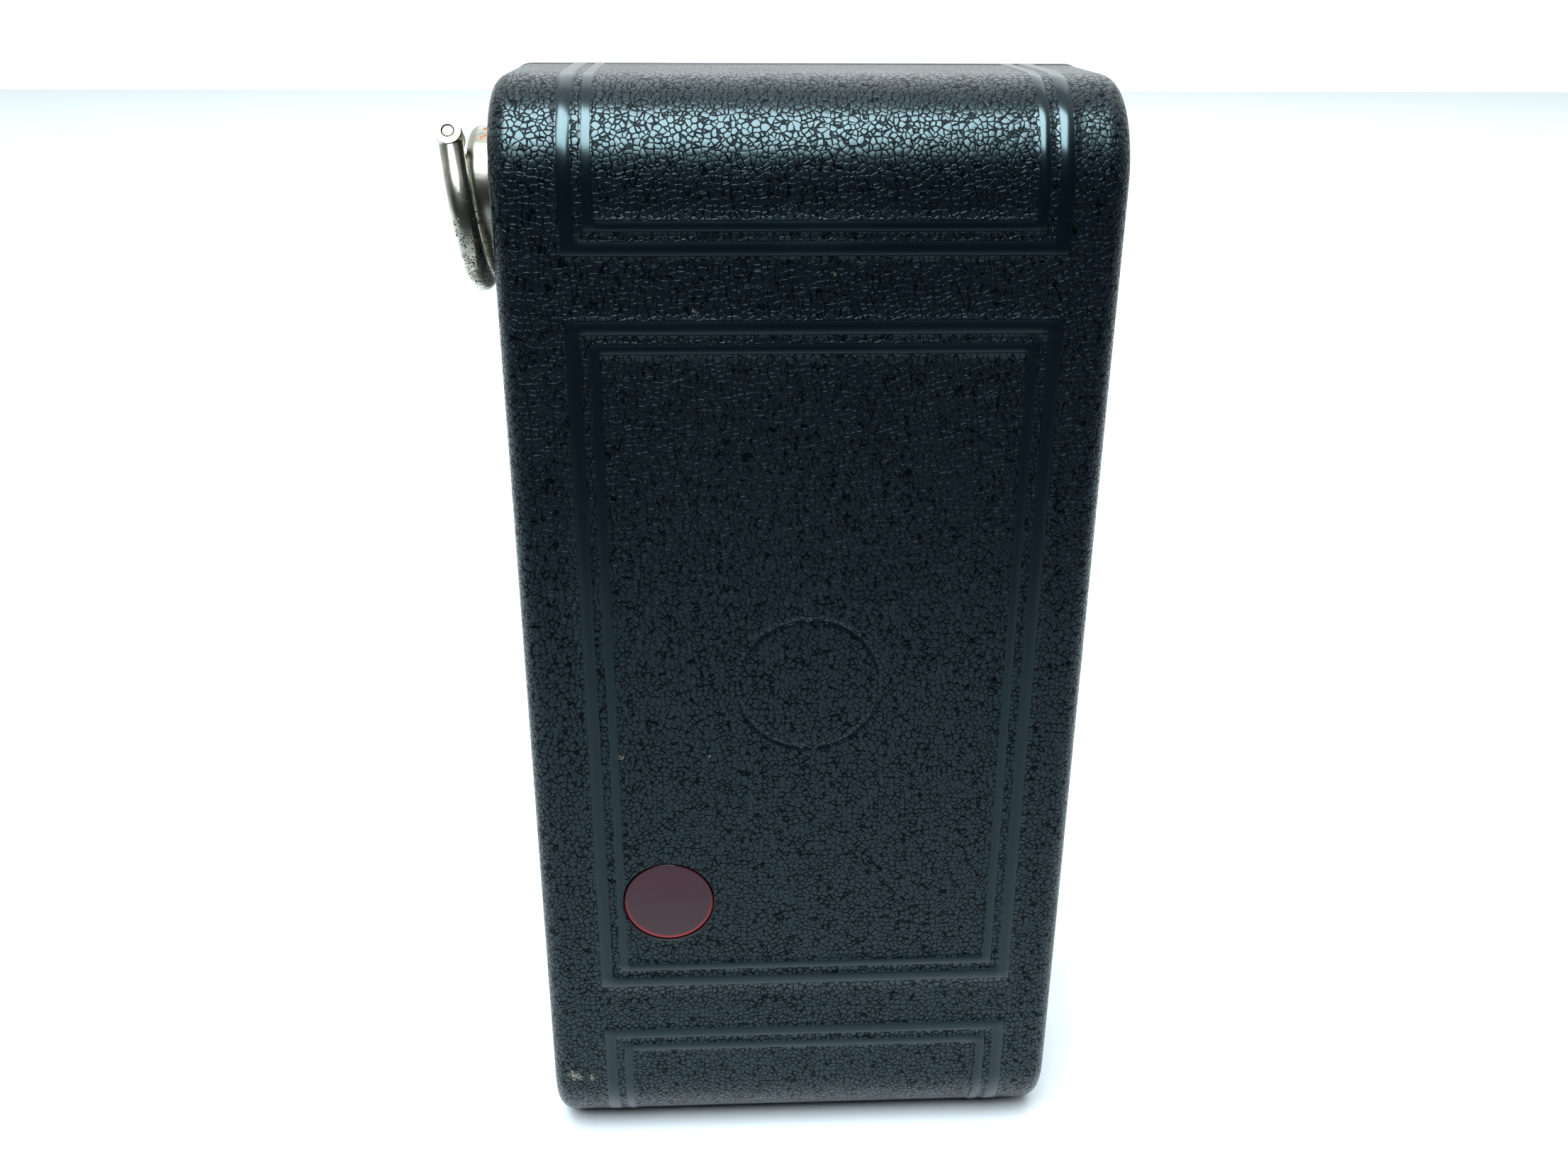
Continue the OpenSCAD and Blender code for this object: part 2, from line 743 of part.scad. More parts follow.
module strut_lugs() {
    a_y = hinge_y - strut_off;
    a_z = hinge_z + strut_a_h;
    color("#a8a496") both_sides() {
        sheet_x(lug_in_x, lug_in_x + ear_t) {
            translate([a_y, a_z]) circle(ear_r);
            translate([a_y, a_z - ear_r]) square([door_in_y - a_y, 2 * ear_r]);
        }
        box_between([lug_in_x - 5, door_in_y - 0.7, a_z - 6], [lug_in_x + ear_t, door_in_y, a_z + 6]);
        rod_x(strut_pin_r, strut_in_x, lug_in_x + eps, a_y, a_z);
    }
}

module strut_shape() {
    a = [hinge_y - strut_off, hinge_z + strut_a_h];
    b = [strut_b_y, hinge_z + strut_b_h];
    sheet_x(strut_in_x, strut_out_x) difference() {
        bar(a, b, 1.9);
        for (c = [a, b]) translate(c) circle(strut_pin_r + run_fit);
    }
}

module strut_left() {
    color("#c4c1b6") mirror([1, 0, 0]) strut_shape();
}

module strut_right() {
    color("#c4c1b6") strut_shape();
}

// The low arm turns on a pin in the case, the top arm on a pin in the bed door.
module brace_low_shape() {
    p = brace_p + [0, hinge_z];
    e = brace_e + [0, hinge_z];
    difference() {
        sheet_x(arm_out_x - brace_t, arm_out_x) bar(p, e, brace_end_r);
        rod_x(brace_pin_r + run_fit, arm_out_x - 2, arm_out_x + 1, e[0], e[1]);
    }
    rod_x(brace_pin_r - run_fit, arm_out_x - eps, box_in_x + box_t, p[0], p[1]);
}

module brace_top_shape() {
    q = brace_q + [0, hinge_z];
    e = brace_e + [0, hinge_z];
    difference() {
        sheet_x(arm_mid_x - brace_t, arm_mid_x) bar(q, e, brace_end_r);
        rod_x(brace_pin_r + run_fit, arm_mid_x - 2, arm_mid_x + 1, e[0], e[1]);
    }
    rod_x(brace_pin_r - run_fit, arm_mid_x - eps, door_w / 2, q[0], q[1]);
}

module brace_low_left() {
    color("#c4c1b6") mirror([1, 0, 0]) brace_low_shape();
}

module brace_low_right() {
    color("#c4c1b6") brace_low_shape();
}

module brace_top_left() {
    color("#c4c1b6") mirror([1, 0, 0]) brace_top_shape();
}

module brace_top_right() {
    color("#c4c1b6") brace_top_shape();
}

module foot() {
    half = foot_w / 2;
    inner_y = door_in_y + plate_t + 0.1;
    color("#c4c1b6") difference() {
        union() {
            sheet_y(inner_y, inner_y + foot_t) difference() {
                union() {
                    rounded_rect([-half, foot_z - foot_len], [half, foot_z - foot_len + 12], 4);
                    translate([-half + 3, foot_z - foot_len + 6]) square([foot_w - 6, foot_len - 6]);
                }
                rounded_rect([-half + 5, foot_z - foot_len + 11], [half - 5, foot_z - 6], 2);
            }
            rod_x(foot_knuckle_r, -half + 3, half - 3, foot_y, foot_z);
        }
        rod_x(0.5 + run_fit, -half, half, foot_y, foot_z);
    }
}

module foot_hinge() {
    half = foot_w / 2;
    color("#a8a496") {
        both_sides() difference() {
            union() {
                rod_x(foot_knuckle_r, half - 3 + slide_gap, half, foot_y, foot_z);
                box_between([half - 3 + slide_gap, door_in_y + plate_t, foot_z], [half, door_in_y + plate_t + 0.6, foot_z + 3.8]);
                box_between([half - 3 + slide_gap, door_in_y + plate_t, foot_z], [half, foot_y, foot_z + 0.9]);
            }
        }
        rod_x(0.5, -half + 2, half - 2, foot_y, foot_z);
    }
}

// ---- lens panel ----

module bellows_ring(half_w, half_h, wall, y0, y1) {
    sheet_y(y0, y1) difference() {
        translate([-half_w, mid_z - half_h]) square([2 * half_w, 2 * half_h]);
        translate([-half_w + wall, mid_z - half_h + wall]) square([2 * (half_w - wall), 2 * (half_h - wall)]);
    }
}

module bellows() {
    y0 = gate_front_y + plate_t;
    y1 = panel_back_y - plate_t;
    steps = 7;
    color("#191a1b") for (i = [0 : steps - 1]) {
        t = i / (steps - 1);
        bellows_ring(gate_w / 2 + 2.6 - 7 * t, gate_h / 2 + 3 - 17 * t, 2.6 + 1.2 * (i < steps - 1 ? 1 : 0),
                     y0 + (y1 - y0) * i / steps, y0 + (y1 - y0) * (i + 1) / steps);
    }
}

module bellows_frames() {
    color("#202224") bellows_ring(gate_w / 2 + 2.6, gate_h / 2 + 3, 2.4, gate_front_y, gate_front_y + plate_t);
}

module lens_panel() {
    half = panel_w / 2;
    b_z = hinge_z + strut_b_h;
    color("#2b2d2e") difference() {
        union() {
            sheet_y(panel_back_y, panel_y)
                rounded_rect([-half, panel_low_z], [half, lens_z + panel_h / 2], 5);
            bellows_ring(gate_w / 2 - 4.4, gate_h / 2 - 14, 2.6, panel_back_y - plate_t, panel_back_y + eps);
            both_sides() sheet_x(half, half + ear_t) {
                translate([strut_b_y, b_z]) circle(ear_r);
                translate([panel_back_y, b_z - ear_r]) square([strut_b_y - panel_back_y, 2 * ear_r]);
            }
            both_sides() box_between([half - 2, panel_back_y, b_z - ear_r], [half + eps, panel_y, b_z + ear_r]);
            both_sides() rod_x(strut_pin_r, half, ear_out_x + layer_gap / 2, strut_b_y, b_z);
        }
        rod_y(9, panel_back_y - 2, panel_y + 1, 0, lens_z);
    }
}

module shutter_case() {
    color("#18191a") difference() {
        union() {
            rod_y(shutter_r, panel_y, panel_y + shutter_d - 0.8, 0, lens_z);
            rod_y(shutter_r - 0.8, panel_y, panel_y + shutter_d - 0.4, 0, lens_z);
        }
        rod_y(shutter_r - 1.6, panel_y + 1, panel_y + shutter_d + 1, 0, lens_z);
        rod_y(9, panel_y - 1, panel_y + 2, 0, lens_z);
    }
}

module shutter_face() {
    y1 = panel_y + shutter_d;
    color("#1d1e1f") difference() {
        union() {
            rod_y(shutter_r - 1.7, y1 - 1.4, y1 - 0.2, 0, lens_z);
            rod_y(12, y1 - 0.3, y1 + 0.4, 0, lens_z);
            rod_y(10.5, y1 + 0.3, y1 + 1.6, 0, lens_z);
        }
        rod_y(7.2, y1 - 2, y1 + 3, 0, lens_z);
    }
}

module lens_cell() {
    y1 = panel_y + shutter_d;
    color("#c4c1b6") difference() {
        union() {
            rod_y(8.8, panel_back_y - 0.6, panel_y + 2.2, 0, lens_z);
            rod_y(7.1, panel_y + 2.1, panel_y + 2.8, 0, lens_z);
        }
        rod_y(6.3, panel_back_y - 1, panel_y + 4, 0, lens_z);
    }
}

module lens_glass() {
    r = 24;
    edge = 6.25;
    sag = r - sqrt(r * r - edge * edge);
    color("#b9cdd6", 0.5) translate([0, panel_y + 2.2, lens_z]) rotate([-90, 0, 0]) rotate_extrude()
        intersection() {
            translate([0, sag - r]) circle(r, $fn = 96);
            translate([0, -2.8]) square([edge, 6]);
        }
}

module aperture_disc() {
    y0 = panel_y + 4.6;
    y1 = panel_y + shutter_d;
    color("#26282a") difference() {
        rod_y(shutter_r - 2.2, y0, y0 + 0.5, 0, lens_z);
        rod_y(3.4, y0 - 1, y0 + 1, 0, lens_z);
    }
    color("#c4c1b6") rod_y(0.9, y0 + 0.4, y0 + 0.9, 0, lens_z - 15.5);
}

module lever(angle, y0, r_in, r_out) {
    translate([0, 0, lens_z]) rotate([0, angle, 0]) {
        sheet_y(y0, y0 + 0.6) bar([0, r_in], [0, r_out], 1.2);
        rod_y(1.1, y0 + 0.5, y0 + 1.8, 0, r_out - 0.4);
    }
}

module speed_lever() {
    color("#c4c1b6") {
        lever(0, panel_y + shutter_d, 13.5, 15.6);
        sheet_y(panel_y + shutter_d, panel_y + shutter_d + 0.6) translate([0, lens_z]) difference() {
            circle(13.2);
            circle(12.1);
        }
    }
}

module release_lever() {
    color("#c4c1b6") {
        translate([0, 0, lens_z]) rotate([0, 62, 0]) {
            sheet_y(panel_y + 3, panel_y + 3.8) bar([0, shutter_r + 1.2], [0, shutter_r + 3.6], 1.1);
            rod_y(1.6, panel_y + 3, panel_y + 6.2, 0, shutter_r + 3.4);
        }
    }
}

module finder() {
    y0 = panel_y + 0.4;
    half = finder_w / 2;
    base_z = finder_z + 3.4;
    color("#1d1e1f") {
        difference() {
            box_between([finder_x - half, y0 + 0.4, base_z], [finder_x + half, y0 + 0.4 + finder_d, base_z + finder_w]);
            rod_y(3.6, y0 + finder_d - 1.2, y0 + finder_d + 2, finder_x, base_z + finder_w / 2);
            box_between([finder_x - half + 1.4, y0 + 1.8, base_z + finder_w - 1], [finder_x + half - 1.4,
                        y0 + finder_d - 0.8, base_z + finder_w + 1]);
        }
        sheet_y(y0, y0 + 0.8) bar([finder_x, finder_z], [finder_x, base_z + 2], 2.6);
        rod_y(1.6, y0 + 0.7, y0 + 1.4, finder_x, finder_z);
    }
}

cover_shell();
cover_leather();
window_disc();
window_ring();
pressure_plate();
pressure_springs();
side_plate_left();
side_plate_right();
side_leather_left();
side_leather_right();
front_plate();
front_leather();
chamber_wall_top();
chamber_wall_bottom();
box_sides();
gate_plate();
film_roller_top();
film_roller_bottom();
cover_detents();
idle_spool_pin();
spool_pin_top();
spool_pin_bottom();
pin_spring_top();
pin_spring_bottom();
tripod_bush();
case_screws();
key_bush();
key_shaft();
key_boss();
key_pin();
key_loop();
spool_core();
spool_flanges();
door_plate();
door_leather();
door_knuckles();
hinge_leaf();
hinge_rod();
door_latch();
release_button();
strut_lugs();
strut_left();
strut_right();
brace_low_left();
brace_low_right();
brace_top_left();
brace_top_right();
foot();
foot_hinge();
bellows();
bellows_frames();
lens_panel();
shutter_case();
shutter_face();
lens_cell();
lens_glass();
aperture_disc();
speed_lever();
release_lever();
finder();
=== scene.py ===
"""Looks of a folding roll-film camera that stands shut on its lower end, seen from behind.

The frame gives every solid in its place. This script dresses those solids, replaces the ones whose finish needs a
better mesh, and sets up a studio floor, pale beyond the object and painted with shade towards the viewer, with soft
light.
"""

from __future__ import annotations

import json
import logging
import math
from dataclasses import dataclass, field
from enum import Enum

import bpy
import numpy as np
from mathutils import Matrix, Vector

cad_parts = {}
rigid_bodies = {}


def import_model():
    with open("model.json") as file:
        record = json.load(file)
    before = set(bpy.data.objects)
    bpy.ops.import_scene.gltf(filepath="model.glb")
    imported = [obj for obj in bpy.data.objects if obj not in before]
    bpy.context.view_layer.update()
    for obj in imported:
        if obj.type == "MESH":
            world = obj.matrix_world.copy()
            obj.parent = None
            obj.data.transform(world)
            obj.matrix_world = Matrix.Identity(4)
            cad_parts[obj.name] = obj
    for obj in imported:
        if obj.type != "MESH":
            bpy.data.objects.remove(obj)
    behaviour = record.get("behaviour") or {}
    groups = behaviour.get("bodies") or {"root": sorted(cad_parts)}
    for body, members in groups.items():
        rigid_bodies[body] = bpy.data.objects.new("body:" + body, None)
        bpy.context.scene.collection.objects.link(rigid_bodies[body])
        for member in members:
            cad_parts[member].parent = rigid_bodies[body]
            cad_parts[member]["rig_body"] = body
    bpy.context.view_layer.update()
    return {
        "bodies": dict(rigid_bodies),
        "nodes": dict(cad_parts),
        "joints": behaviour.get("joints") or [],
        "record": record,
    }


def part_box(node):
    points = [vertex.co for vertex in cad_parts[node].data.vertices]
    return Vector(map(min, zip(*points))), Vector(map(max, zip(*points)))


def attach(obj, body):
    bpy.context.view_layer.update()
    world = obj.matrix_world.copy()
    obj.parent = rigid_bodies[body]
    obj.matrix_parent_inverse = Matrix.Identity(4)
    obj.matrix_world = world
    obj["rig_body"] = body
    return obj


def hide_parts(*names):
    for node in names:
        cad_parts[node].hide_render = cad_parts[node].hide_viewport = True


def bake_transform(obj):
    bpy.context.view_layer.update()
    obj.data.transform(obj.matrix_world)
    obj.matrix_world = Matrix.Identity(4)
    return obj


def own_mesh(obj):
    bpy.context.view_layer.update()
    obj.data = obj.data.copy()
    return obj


LOG = logging.getLogger("folding_camera")
MM = 0.001
COVER = "back_cover"

# Corners of a node closer than WELD_MM are one, and so are faces that turn less than FLAT_DEG. Edges that turn more
# than SHARP_DEG are broken, by one of the two widths where a piece has none of its own.
WELD_MM = 0.002
FLAT_DEG = 0.4
SHARP_DEG = 34
METAL_EDGE_MM = 0.12
LEATHER_EDGE_MM = 0.2

# Where a side of a tooled frame lies that never shows, because the frame runs on over an end of the cover.
OFF_WRAP_MM = 400.0


def linear(code: str) -> tuple[float, float, float, float]:
    """Turn an sRGB hex colour into linear values.

    Args:
        code: Six hex digits, with or without a leading hash.

    Returns:
        Red, green, blue and an alpha of one, for a colour socket.
    """
    digits = code.lstrip("#")
    parts = [int(digits[i:i + 2], 16) / 255 for i in (0, 2, 4)]
    curve = [c / 12.92 if c <= 0.04045 else ((c + 0.055) / 1.055) ** 2.4 for c in parts]
    return (curve[0], curve[1], curve[2], 1.0)


def pick_only(piece: bpy.types.Object) -> None:
    """Select one object alone and make it active.

    Args:
        piece: The object.
    """
    bpy.ops.object.select_all(action="DESELECT")
    piece.select_set(True)
    bpy.context.view_layer.objects.active = piece


def apply_modifier(piece: bpy.types.Object, kind: str, **settings: object) -> None:
    """Add one modifier and apply it.

    Args:
        piece: The object to change.
        kind: Blender's name for the modifier type.
        settings: Attributes of the modifier.
    """
    pick_only(piece)
    modifier = piece.modifiers.new(kind.title(), kind)
    for name, value in settings.items():
        setattr(modifier, name, value)
    bpy.ops.object.modifier_apply(modifier=modifier.name)


def smooth(piece: bpy.types.Object, angle: float = 32.0) -> None:
    """Shade a piece smooth, apart from edges sharper than the angle in degrees."""
    pick_only(piece)
    bpy.ops.object.shade_smooth_by_angle(angle=math.radians(angle))


def wear(piece: bpy.types.Object, finish: bpy.types.Material) -> None:
    """Give a piece one material in place of any that it has."""
    piece.data.materials.clear()
    piece.data.materials.append(finish)


def numbers(items: bpy.types.bpy_prop_collection, name: str) -> np.ndarray:
    """Read one vector of every vertex or face.

    Args:
        items: A mesh's vertices or faces.
        name: The vector's name, such as co or normal.

    Returns:
        Rows of X, Y and Z.
    """
    flat = np.zeros(len(items) * 3, np.float32)
    items.foreach_get(name, flat)
    return flat.reshape(-1, 3)


def pick_faces(piece: bpy.types.Object, wanted: np.ndarray) -> None:
    """Select some faces of a piece and no others.

    Args:
        piece: The object.
        wanted: True for each face to select.
    """
    pick_only(piece)
    bpy.ops.object.mode_set(mode="EDIT")
    bpy.ops.mesh.select_mode(type="FACE")
    bpy.ops.mesh.select_all(action="DESELECT")
    bpy.ops.object.mode_set(mode="OBJECT")
    piece.data.polygons.foreach_set("select", wanted)


def face_outwards(piece: bpy.types.Object) -> None:
    """Turn all the faces of a piece the same way, outwards where that can be told.

    Args:
        piece: The object.
    """
    pick_only(piece)
    bpy.ops.object.mode_set(mode="EDIT")
    bpy.ops.mesh.select_all(action="SELECT")
    bpy.ops.mesh.normals_make_consistent(inside=False)
    bpy.ops.object.mode_set(mode="OBJECT")


def node_middle(name: str) -> Vector:
    """The middle of a node's box at rest, in metres."""
    low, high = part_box(name)
    return (low + high) / 2


class Graph:
    """The nodes of one material or of the room, added one at a time."""

    def __init__(self, name: str, room: bool = False) -> None:
        """Start with an output and nothing else.

        Args:
            name: The material's name, after what it is made of, or the room's.
            room: Whether the nodes light the room.
        """
        self.owner = (bpy.data.worlds if room else bpy.data.materials).new(name)
        self.owner.use_nodes = True
        self.tree = self.owner.node_tree
        self.tree.nodes.clear()
        self.output = self.add("OutputWorld" if room else "OutputMaterial")

    def add(self, kind: str, links: dict | None = None, stops: tuple[tuple[float, str], ...] = (),
            **settings: object) -> bpy.types.Node:
        """Add a node with its settings, input values and links.

        Args:
            kind: The node's type, without the ShaderNode that starts it.
            links: Input name or number to a plain value, an output socket, or a node, which gives its first one.
            stops: Place and hex colour of each stop of a colour ramp, in order.
            settings: Attributes of the node.

        Returns:
            The new node.
        """
        node = self.tree.nodes.new(f"ShaderNode{kind}")
        for name, value in settings.items():
            setattr(node, name, value)
        for key, value in (links or {}).items():
            value = value.outputs[0] if isinstance(value, bpy.types.Node) else value
            if isinstance(value, bpy.types.NodeSocket):
                self.tree.links.new(value, node.inputs[key])
            else:
                node.inputs[key].default_value = value
        if stops:
            elements = node.color_ramp.elements
            while len(elements) < len(stops):
                elements.new(0.5)
            for element, (place, code) in zip(elements, stops):
                element.position = place
                element.color = linear(code)
        return node

    def finish(self, links: dict, kind: str = "BsdfPrincipled") -> bpy.types.Material | bpy.types.World:
        """Add the shader, join it to the output and hand the material or the room over.

        Args:
            links: The shader's inputs, as for add.
            kind: The shader's type.

        Returns:
            What the nodes belong to.
        """
        self.tree.links.new(self.add(kind, links).outputs[0], self.output.inputs["Surface"])
        return self.owner


@dataclass(frozen=True)
class Scuff:
    """A small rubbed or nicked place: its middle and reach in millimetres, and how much of it is worn."""

    middle: tuple[float, float, float]
    reach: float
    share: float


@dataclass(frozen=True)
class Leatherette:
    """Black pebble-grained leatherette: embossed, dyed and lightly waxed, so its grain tops glint and its creases
    stay matt. The creases are also coloured darker than the grain tops, which is painted shade. The tooled bands are
    left without grain, smoother and a little glossier.

    The two numbers of crease, rough and shine are the least and the most of each. Crease is how far a crease reaches
    into a pebble, as a share of it, and shine is the level of the mirror glint from a crease to a grain's top. Belly
    is how high a pebble's rim stands against its middle.
    """

    name: str = "pebbled_leatherette"
    # The grain tops' colour, then the darker colour of the creases, which is painted shade.
    top: str = "#03080C"
    bottom: str = "#010203"
    band: str = "#02060A"
    glint: str = "#C4E7EA"
    worn: str = "#6F6A60"
    grain_mm: float = 0.8
    relief_mm: float = 0.065
    clouds_per_mm: float = 0.042
    specks_per_mm: float = 1.9
    pore_depth: float = 0.05
    belly: float = 0.72
    band_polish: float = 0.03
    worn_rough: float = 0.35
    crease: tuple[float, float] = (0.08, 0.19)
    rough: tuple[float, float] = (0.22, 0.30)
    shine: tuple[float, float] = (0.08, 0.55)
    scuffs: tuple[Scuff, ...] = ()

    def make(self) -> bpy.types.Material:
        """Build the leatherette. The attribute tooled is 1 on the smooth bands and in the ring's groove."""
        g = Graph(self.name)
        grain = self.grain_mm * MM
        place = g.add("TexCoord").outputs["Object"]
        drift = g.add("TexNoise", {"Vector": place, "Scale": 0.45 / grain, "Detail": 5.0})
        centred = g.add("VectorMath", {0: drift.outputs["Color"], 1: (0.5, 0.5, 0.5)}, operation="SUBTRACT")
        shift = g.add("VectorMath", {0: centred, "Scale": grain * 1.1}, operation="SCALE")
        bent = g.add("VectorMath", {0: place, 1: shift}, operation="ADD")
        cells = {"Vector": bent, "Scale": 1 / grain, "Randomness": 0.95}
        edge = g.add("TexVoronoi", cells, feature="DISTANCE_TO_EDGE")
        pebble = g.add("TexVoronoi", cells, feature="F1")
        wander = g.add("TexNoise", {"Vector": place, "Scale": 0.9 / grain})
        width = g.add("MapRange", {"Value": wander, "From Min": 0.35, "From Max": 0.65,
                      "To Min": self.crease[0], "To Max": self.crease[1]})
        plateau = g.add("MapRange", {"Value": edge, "From Min": 0.0,
                        "From Max": width}, interpolation_type="SMOOTHSTEP")
        belly = g.add("MapRange", {"Value": pebble, "From Min": 0.1, "From Max": 0.8,
                      "To Min": 1.0, "To Max": self.belly})
        dome = g.add("Math", {0: plateau, 1: belly}, operation="MULTIPLY")
        pores = g.add("TexNoise", {"Vector": place, "Scale": 4.5 / grain, "Detail": 3.0})
        tooled = g.add("Attribute", attribute_name="tooled", attribute_type="GEOMETRY").outputs["Fac"]
        open_grain = g.add("Math", {0: 1.0, 1: tooled}, operation="SUBTRACT", use_clamp=True)
        raised = g.add("Math", {0: dome, 1: open_grain}, operation="MULTIPLY")
        pitted = g.add("Math", {0: pores, 1: self.pore_depth, 2: raised}, operation="MULTIPLY_ADD")
        bump = g.add("Bump", {"Height": pitted, "Strength": 1.0, "Distance": self.relief_mm * MM})
        clouds = g.add("TexNoise", {"Vector": place, "Scale": self.clouds_per_mm / MM, "Detail": 3.0})
        worn_out = self.worn_mask(g, place)
        # Painted shade: the creases take the darker bottom colour and the grain tops the top colour.
        tint = g.add("ValToRGB", {"Fac": dome}, stops=((0.0, self.bottom), (0.7, self.top), (1.0, self.top)))
        whole = g.add("Mix", {"Factor": tooled, 6: tint, 7: linear(self.band)}, data_type="RGBA")
        colour = g.add("Mix", {"Factor": worn_out, 6: whole.outputs[2], 7: linear(self.worn)}, data_type="RGBA")
        gloss = g.add("MapRange", {"Value": clouds, "From Min": 0.3, "From Max": 0.7,
                      "To Min": self.rough[0], "To Max": self.rough[1]})
        ironed = g.add("Math", {0: tooled, 1: -self.band_polish, 2: gloss}, operation="MULTIPLY_ADD")
        matt = g.add("Math", {0: worn_out, 1: self.worn_rough, 2: ironed}, operation="MULTIPLY_ADD")
        waxed = g.add("Math", {0: plateau, 1: tooled}, operation="MAXIMUM")
        level = g.add("MapRange", {"Value": waxed, "From Min": 0.6, "From Max": 1.0,
                      "To Min": self.shine[0], "To Max": self.shine[1]})
        return g.finish({"Base Color": colour.outputs[2], "Roughness": matt, "Normal": bump, "IOR": 1.47,
                         "Specular IOR Level": level, "Specular Tint": linear(self.glint)})

    def worn_mask(self, g: Graph, place: bpy.types.NodeSocket) -> bpy.types.Node | float:
        """Add up the scuffs.

        Args:
            g: The material's graph.
            place: Object coordinates.

        Returns:
            A number from 0, whole, to 1, worn through.
        """
        fine = g.add("TexNoise", {"Vector": place, "Scale": self.specks_per_mm / MM, "Detail": 4.0, "Roughness": 0.7})
        total: bpy.types.Node | float = 0.0
        for scuff in self.scuffs:
            middle = tuple(v * MM for v in scuff.middle)
            far = g.add("VectorMath", {0: place, 1: middle}, operation="DISTANCE")
            near = g.add("MapRange", {"Value": far.outputs["Value"], "From Min": 0.0,
                         "From Max": scuff.reach * MM, "To Min": scuff.share, "To Max": 0.0})
            rubbed = g.add("Math", {0: fine, 1: near}, operation="ADD")
            spot = g.add("MapRange", {"Value": rubbed, "From Min": 0.78, "From Max": 0.9})
            total = g.add("Math", {0: total, 1: spot}, operation="MAXIMUM")
        return total


@dataclass(frozen=True)
class AgedNickel:
    """Nickel plating on brass, once buffed bright, now dulled, with pits, and rust where it was plated on steel."""

    name: str = "aged_nickel_plate"
    bright: str = "#ABA99C"
    dull: str = "#7A776B"
    pit: str = "#332C22"
    rust: str = "#6E4420"
    haze_per_mm: float = 0.26
    patches_per_mm: float = 0.62
    pit_mm: float = 0.3
    pit_depth_mm: float = 0.04
    pitted_below_mm: float = 151.0
    pitted_fade_mm: tuple[float, float] = (8.0, 7.0)
    rust_at: tuple[float, float, float] = (-40.6, -3.0, 163.0)
    rust_mm: tuple[float, float] = (0.8, 5.2)

    def make(self) -> bpy.types.Material:
        """Build the plating, with more pits low down and a rust stain beside the case."""
        g = Graph(self.name)
        place = g.add("TexCoord").outputs["Object"]
        haze = g.add("TexNoise", {"Vector": place, "Scale": self.haze_per_mm / MM, "Detail": 5.0, "Roughness": 0.6})
        height = g.add("SeparateXYZ", {0: place}).outputs["Z"]
        low = g.add("MapRange", {"Value": height, "From Min": (self.pitted_below_mm - self.pitted_fade_mm[0]) * MM,
                    "From Max": (self.pitted_below_mm + self.pitted_fade_mm[1]) * MM, "To Min": 0.36, "To Max": 0.0})
        pits = g.add("TexVoronoi", {"Vector": place, "Scale": 1 / (self.pit_mm * MM), "Randomness": 1.0})
        patchy = g.add("TexNoise", {"Vector": place, "Scale": self.patches_per_mm / MM, "Detail": 3.0})
        edge = g.add("Math", {0: patchy, 1: low}, operation="ADD")
        deep = g.add("MapRange", {"Value": edge, "From Min": 0.62, "From Max": 0.74,
                     "To Min": 0.0, "To Max": 0.46})
        holes = g.add("Math", {0: pits, 1: deep}, operation="LESS_THAN")
        stain_far = g.add("VectorMath", {0: place, 1: tuple(v * MM for v in self.rust_at)},
                          operation="DISTANCE")
        stain = g.add("MapRange", {"Value": stain_far.outputs["Value"], "From Min": self.rust_mm[0] * MM,
                      "From Max": self.rust_mm[1] * MM, "To Min": 0.4, "To Max": 0.0})
        rusty = g.add("Math", {0: patchy, 1: stain}, operation="ADD")
        rust = g.add("MapRange", {"Value": rusty, "From Min": 0.72, "From Max": 0.84})
        marred = g.add("Math", {0: holes, 1: rust}, operation="MAXIMUM")
        plate = g.add("ValToRGB", {"Fac": haze}, stops=((0.35, self.dull), (0.62, self.bright)))
        pitted = g.add("Mix", {"Factor": holes, 6: plate, 7: linear(self.pit)}, data_type="RGBA")
        colour = g.add("Mix", {"Factor": rust, 6: pitted.outputs[2], 7: linear(self.rust)}, data_type="RGBA")
        sheen = g.add("MapRange", {"Value": haze, "From Min": 0.3, "From Max": 0.7,
                      "To Min": 0.34, "To Max": 0.20})
        rough = g.add("Math", {0: marred, 1: 0.45, 2: sheen}, operation="MULTIPLY_ADD")
        metal = g.add("Math", {0: marred, 1: -0.8, 2: 1.0}, operation="MULTIPLY_ADD")
        sunk = g.add("Math", {0: marred, 1: -1.0, 2: haze}, operation="MULTIPLY_ADD")
        bump = g.add("Bump", {"Height": sunk, "Strength": 0.6, "Distance": self.pit_depth_mm * MM})
        return g.finish({"Base Color": colour.outputs[2], "Metallic": metal,
                         "Roughness": rough, "Normal": bump})


@dataclass(frozen=True)
class Metal:
    """A bare or plated metal with a cloudy polish and fine scratches along one direction."""

    name: str
    light: str
    dark: str
    rough: float
    scratch_mm: float = 0.12
    scratch_depth_mm: float = 0.02
    haze_per_mm: float = 0.19

    def make(self) -> bpy.types.Material:
        """Build the metal."""
        g = Graph(self.name)
        place = g.add("TexCoord").outputs["Object"]
        stretch = g.add("Mapping", {"Vector": place, "Scale": (0.06, 1.0, 1.0)})
        lines = g.add("TexNoise", {"Vector": stretch, "Scale": 1 / (self.scratch_mm * MM), "Detail": 4.0})
        haze = g.add("TexNoise", {"Vector": place, "Scale": self.haze_per_mm / MM, "Detail": 4.0})
        colour = g.add("ValToRGB", {"Fac": haze}, stops=((0.3, self.dark), (0.65, self.light)))
        rough = g.add("MapRange", {"Value": lines, "From Min": 0.25, "From Max": 0.75,
                      "To Min": self.rough * 0.75, "To Max": self.rough * 1.3})
        bump = g.add("Bump", {"Height": lines, "Strength": 0.25, "Distance": self.scratch_depth_mm * MM})
        return g.finish({"Base Color": colour, "Metallic": 1.0, "Roughness": rough, "Normal": bump})


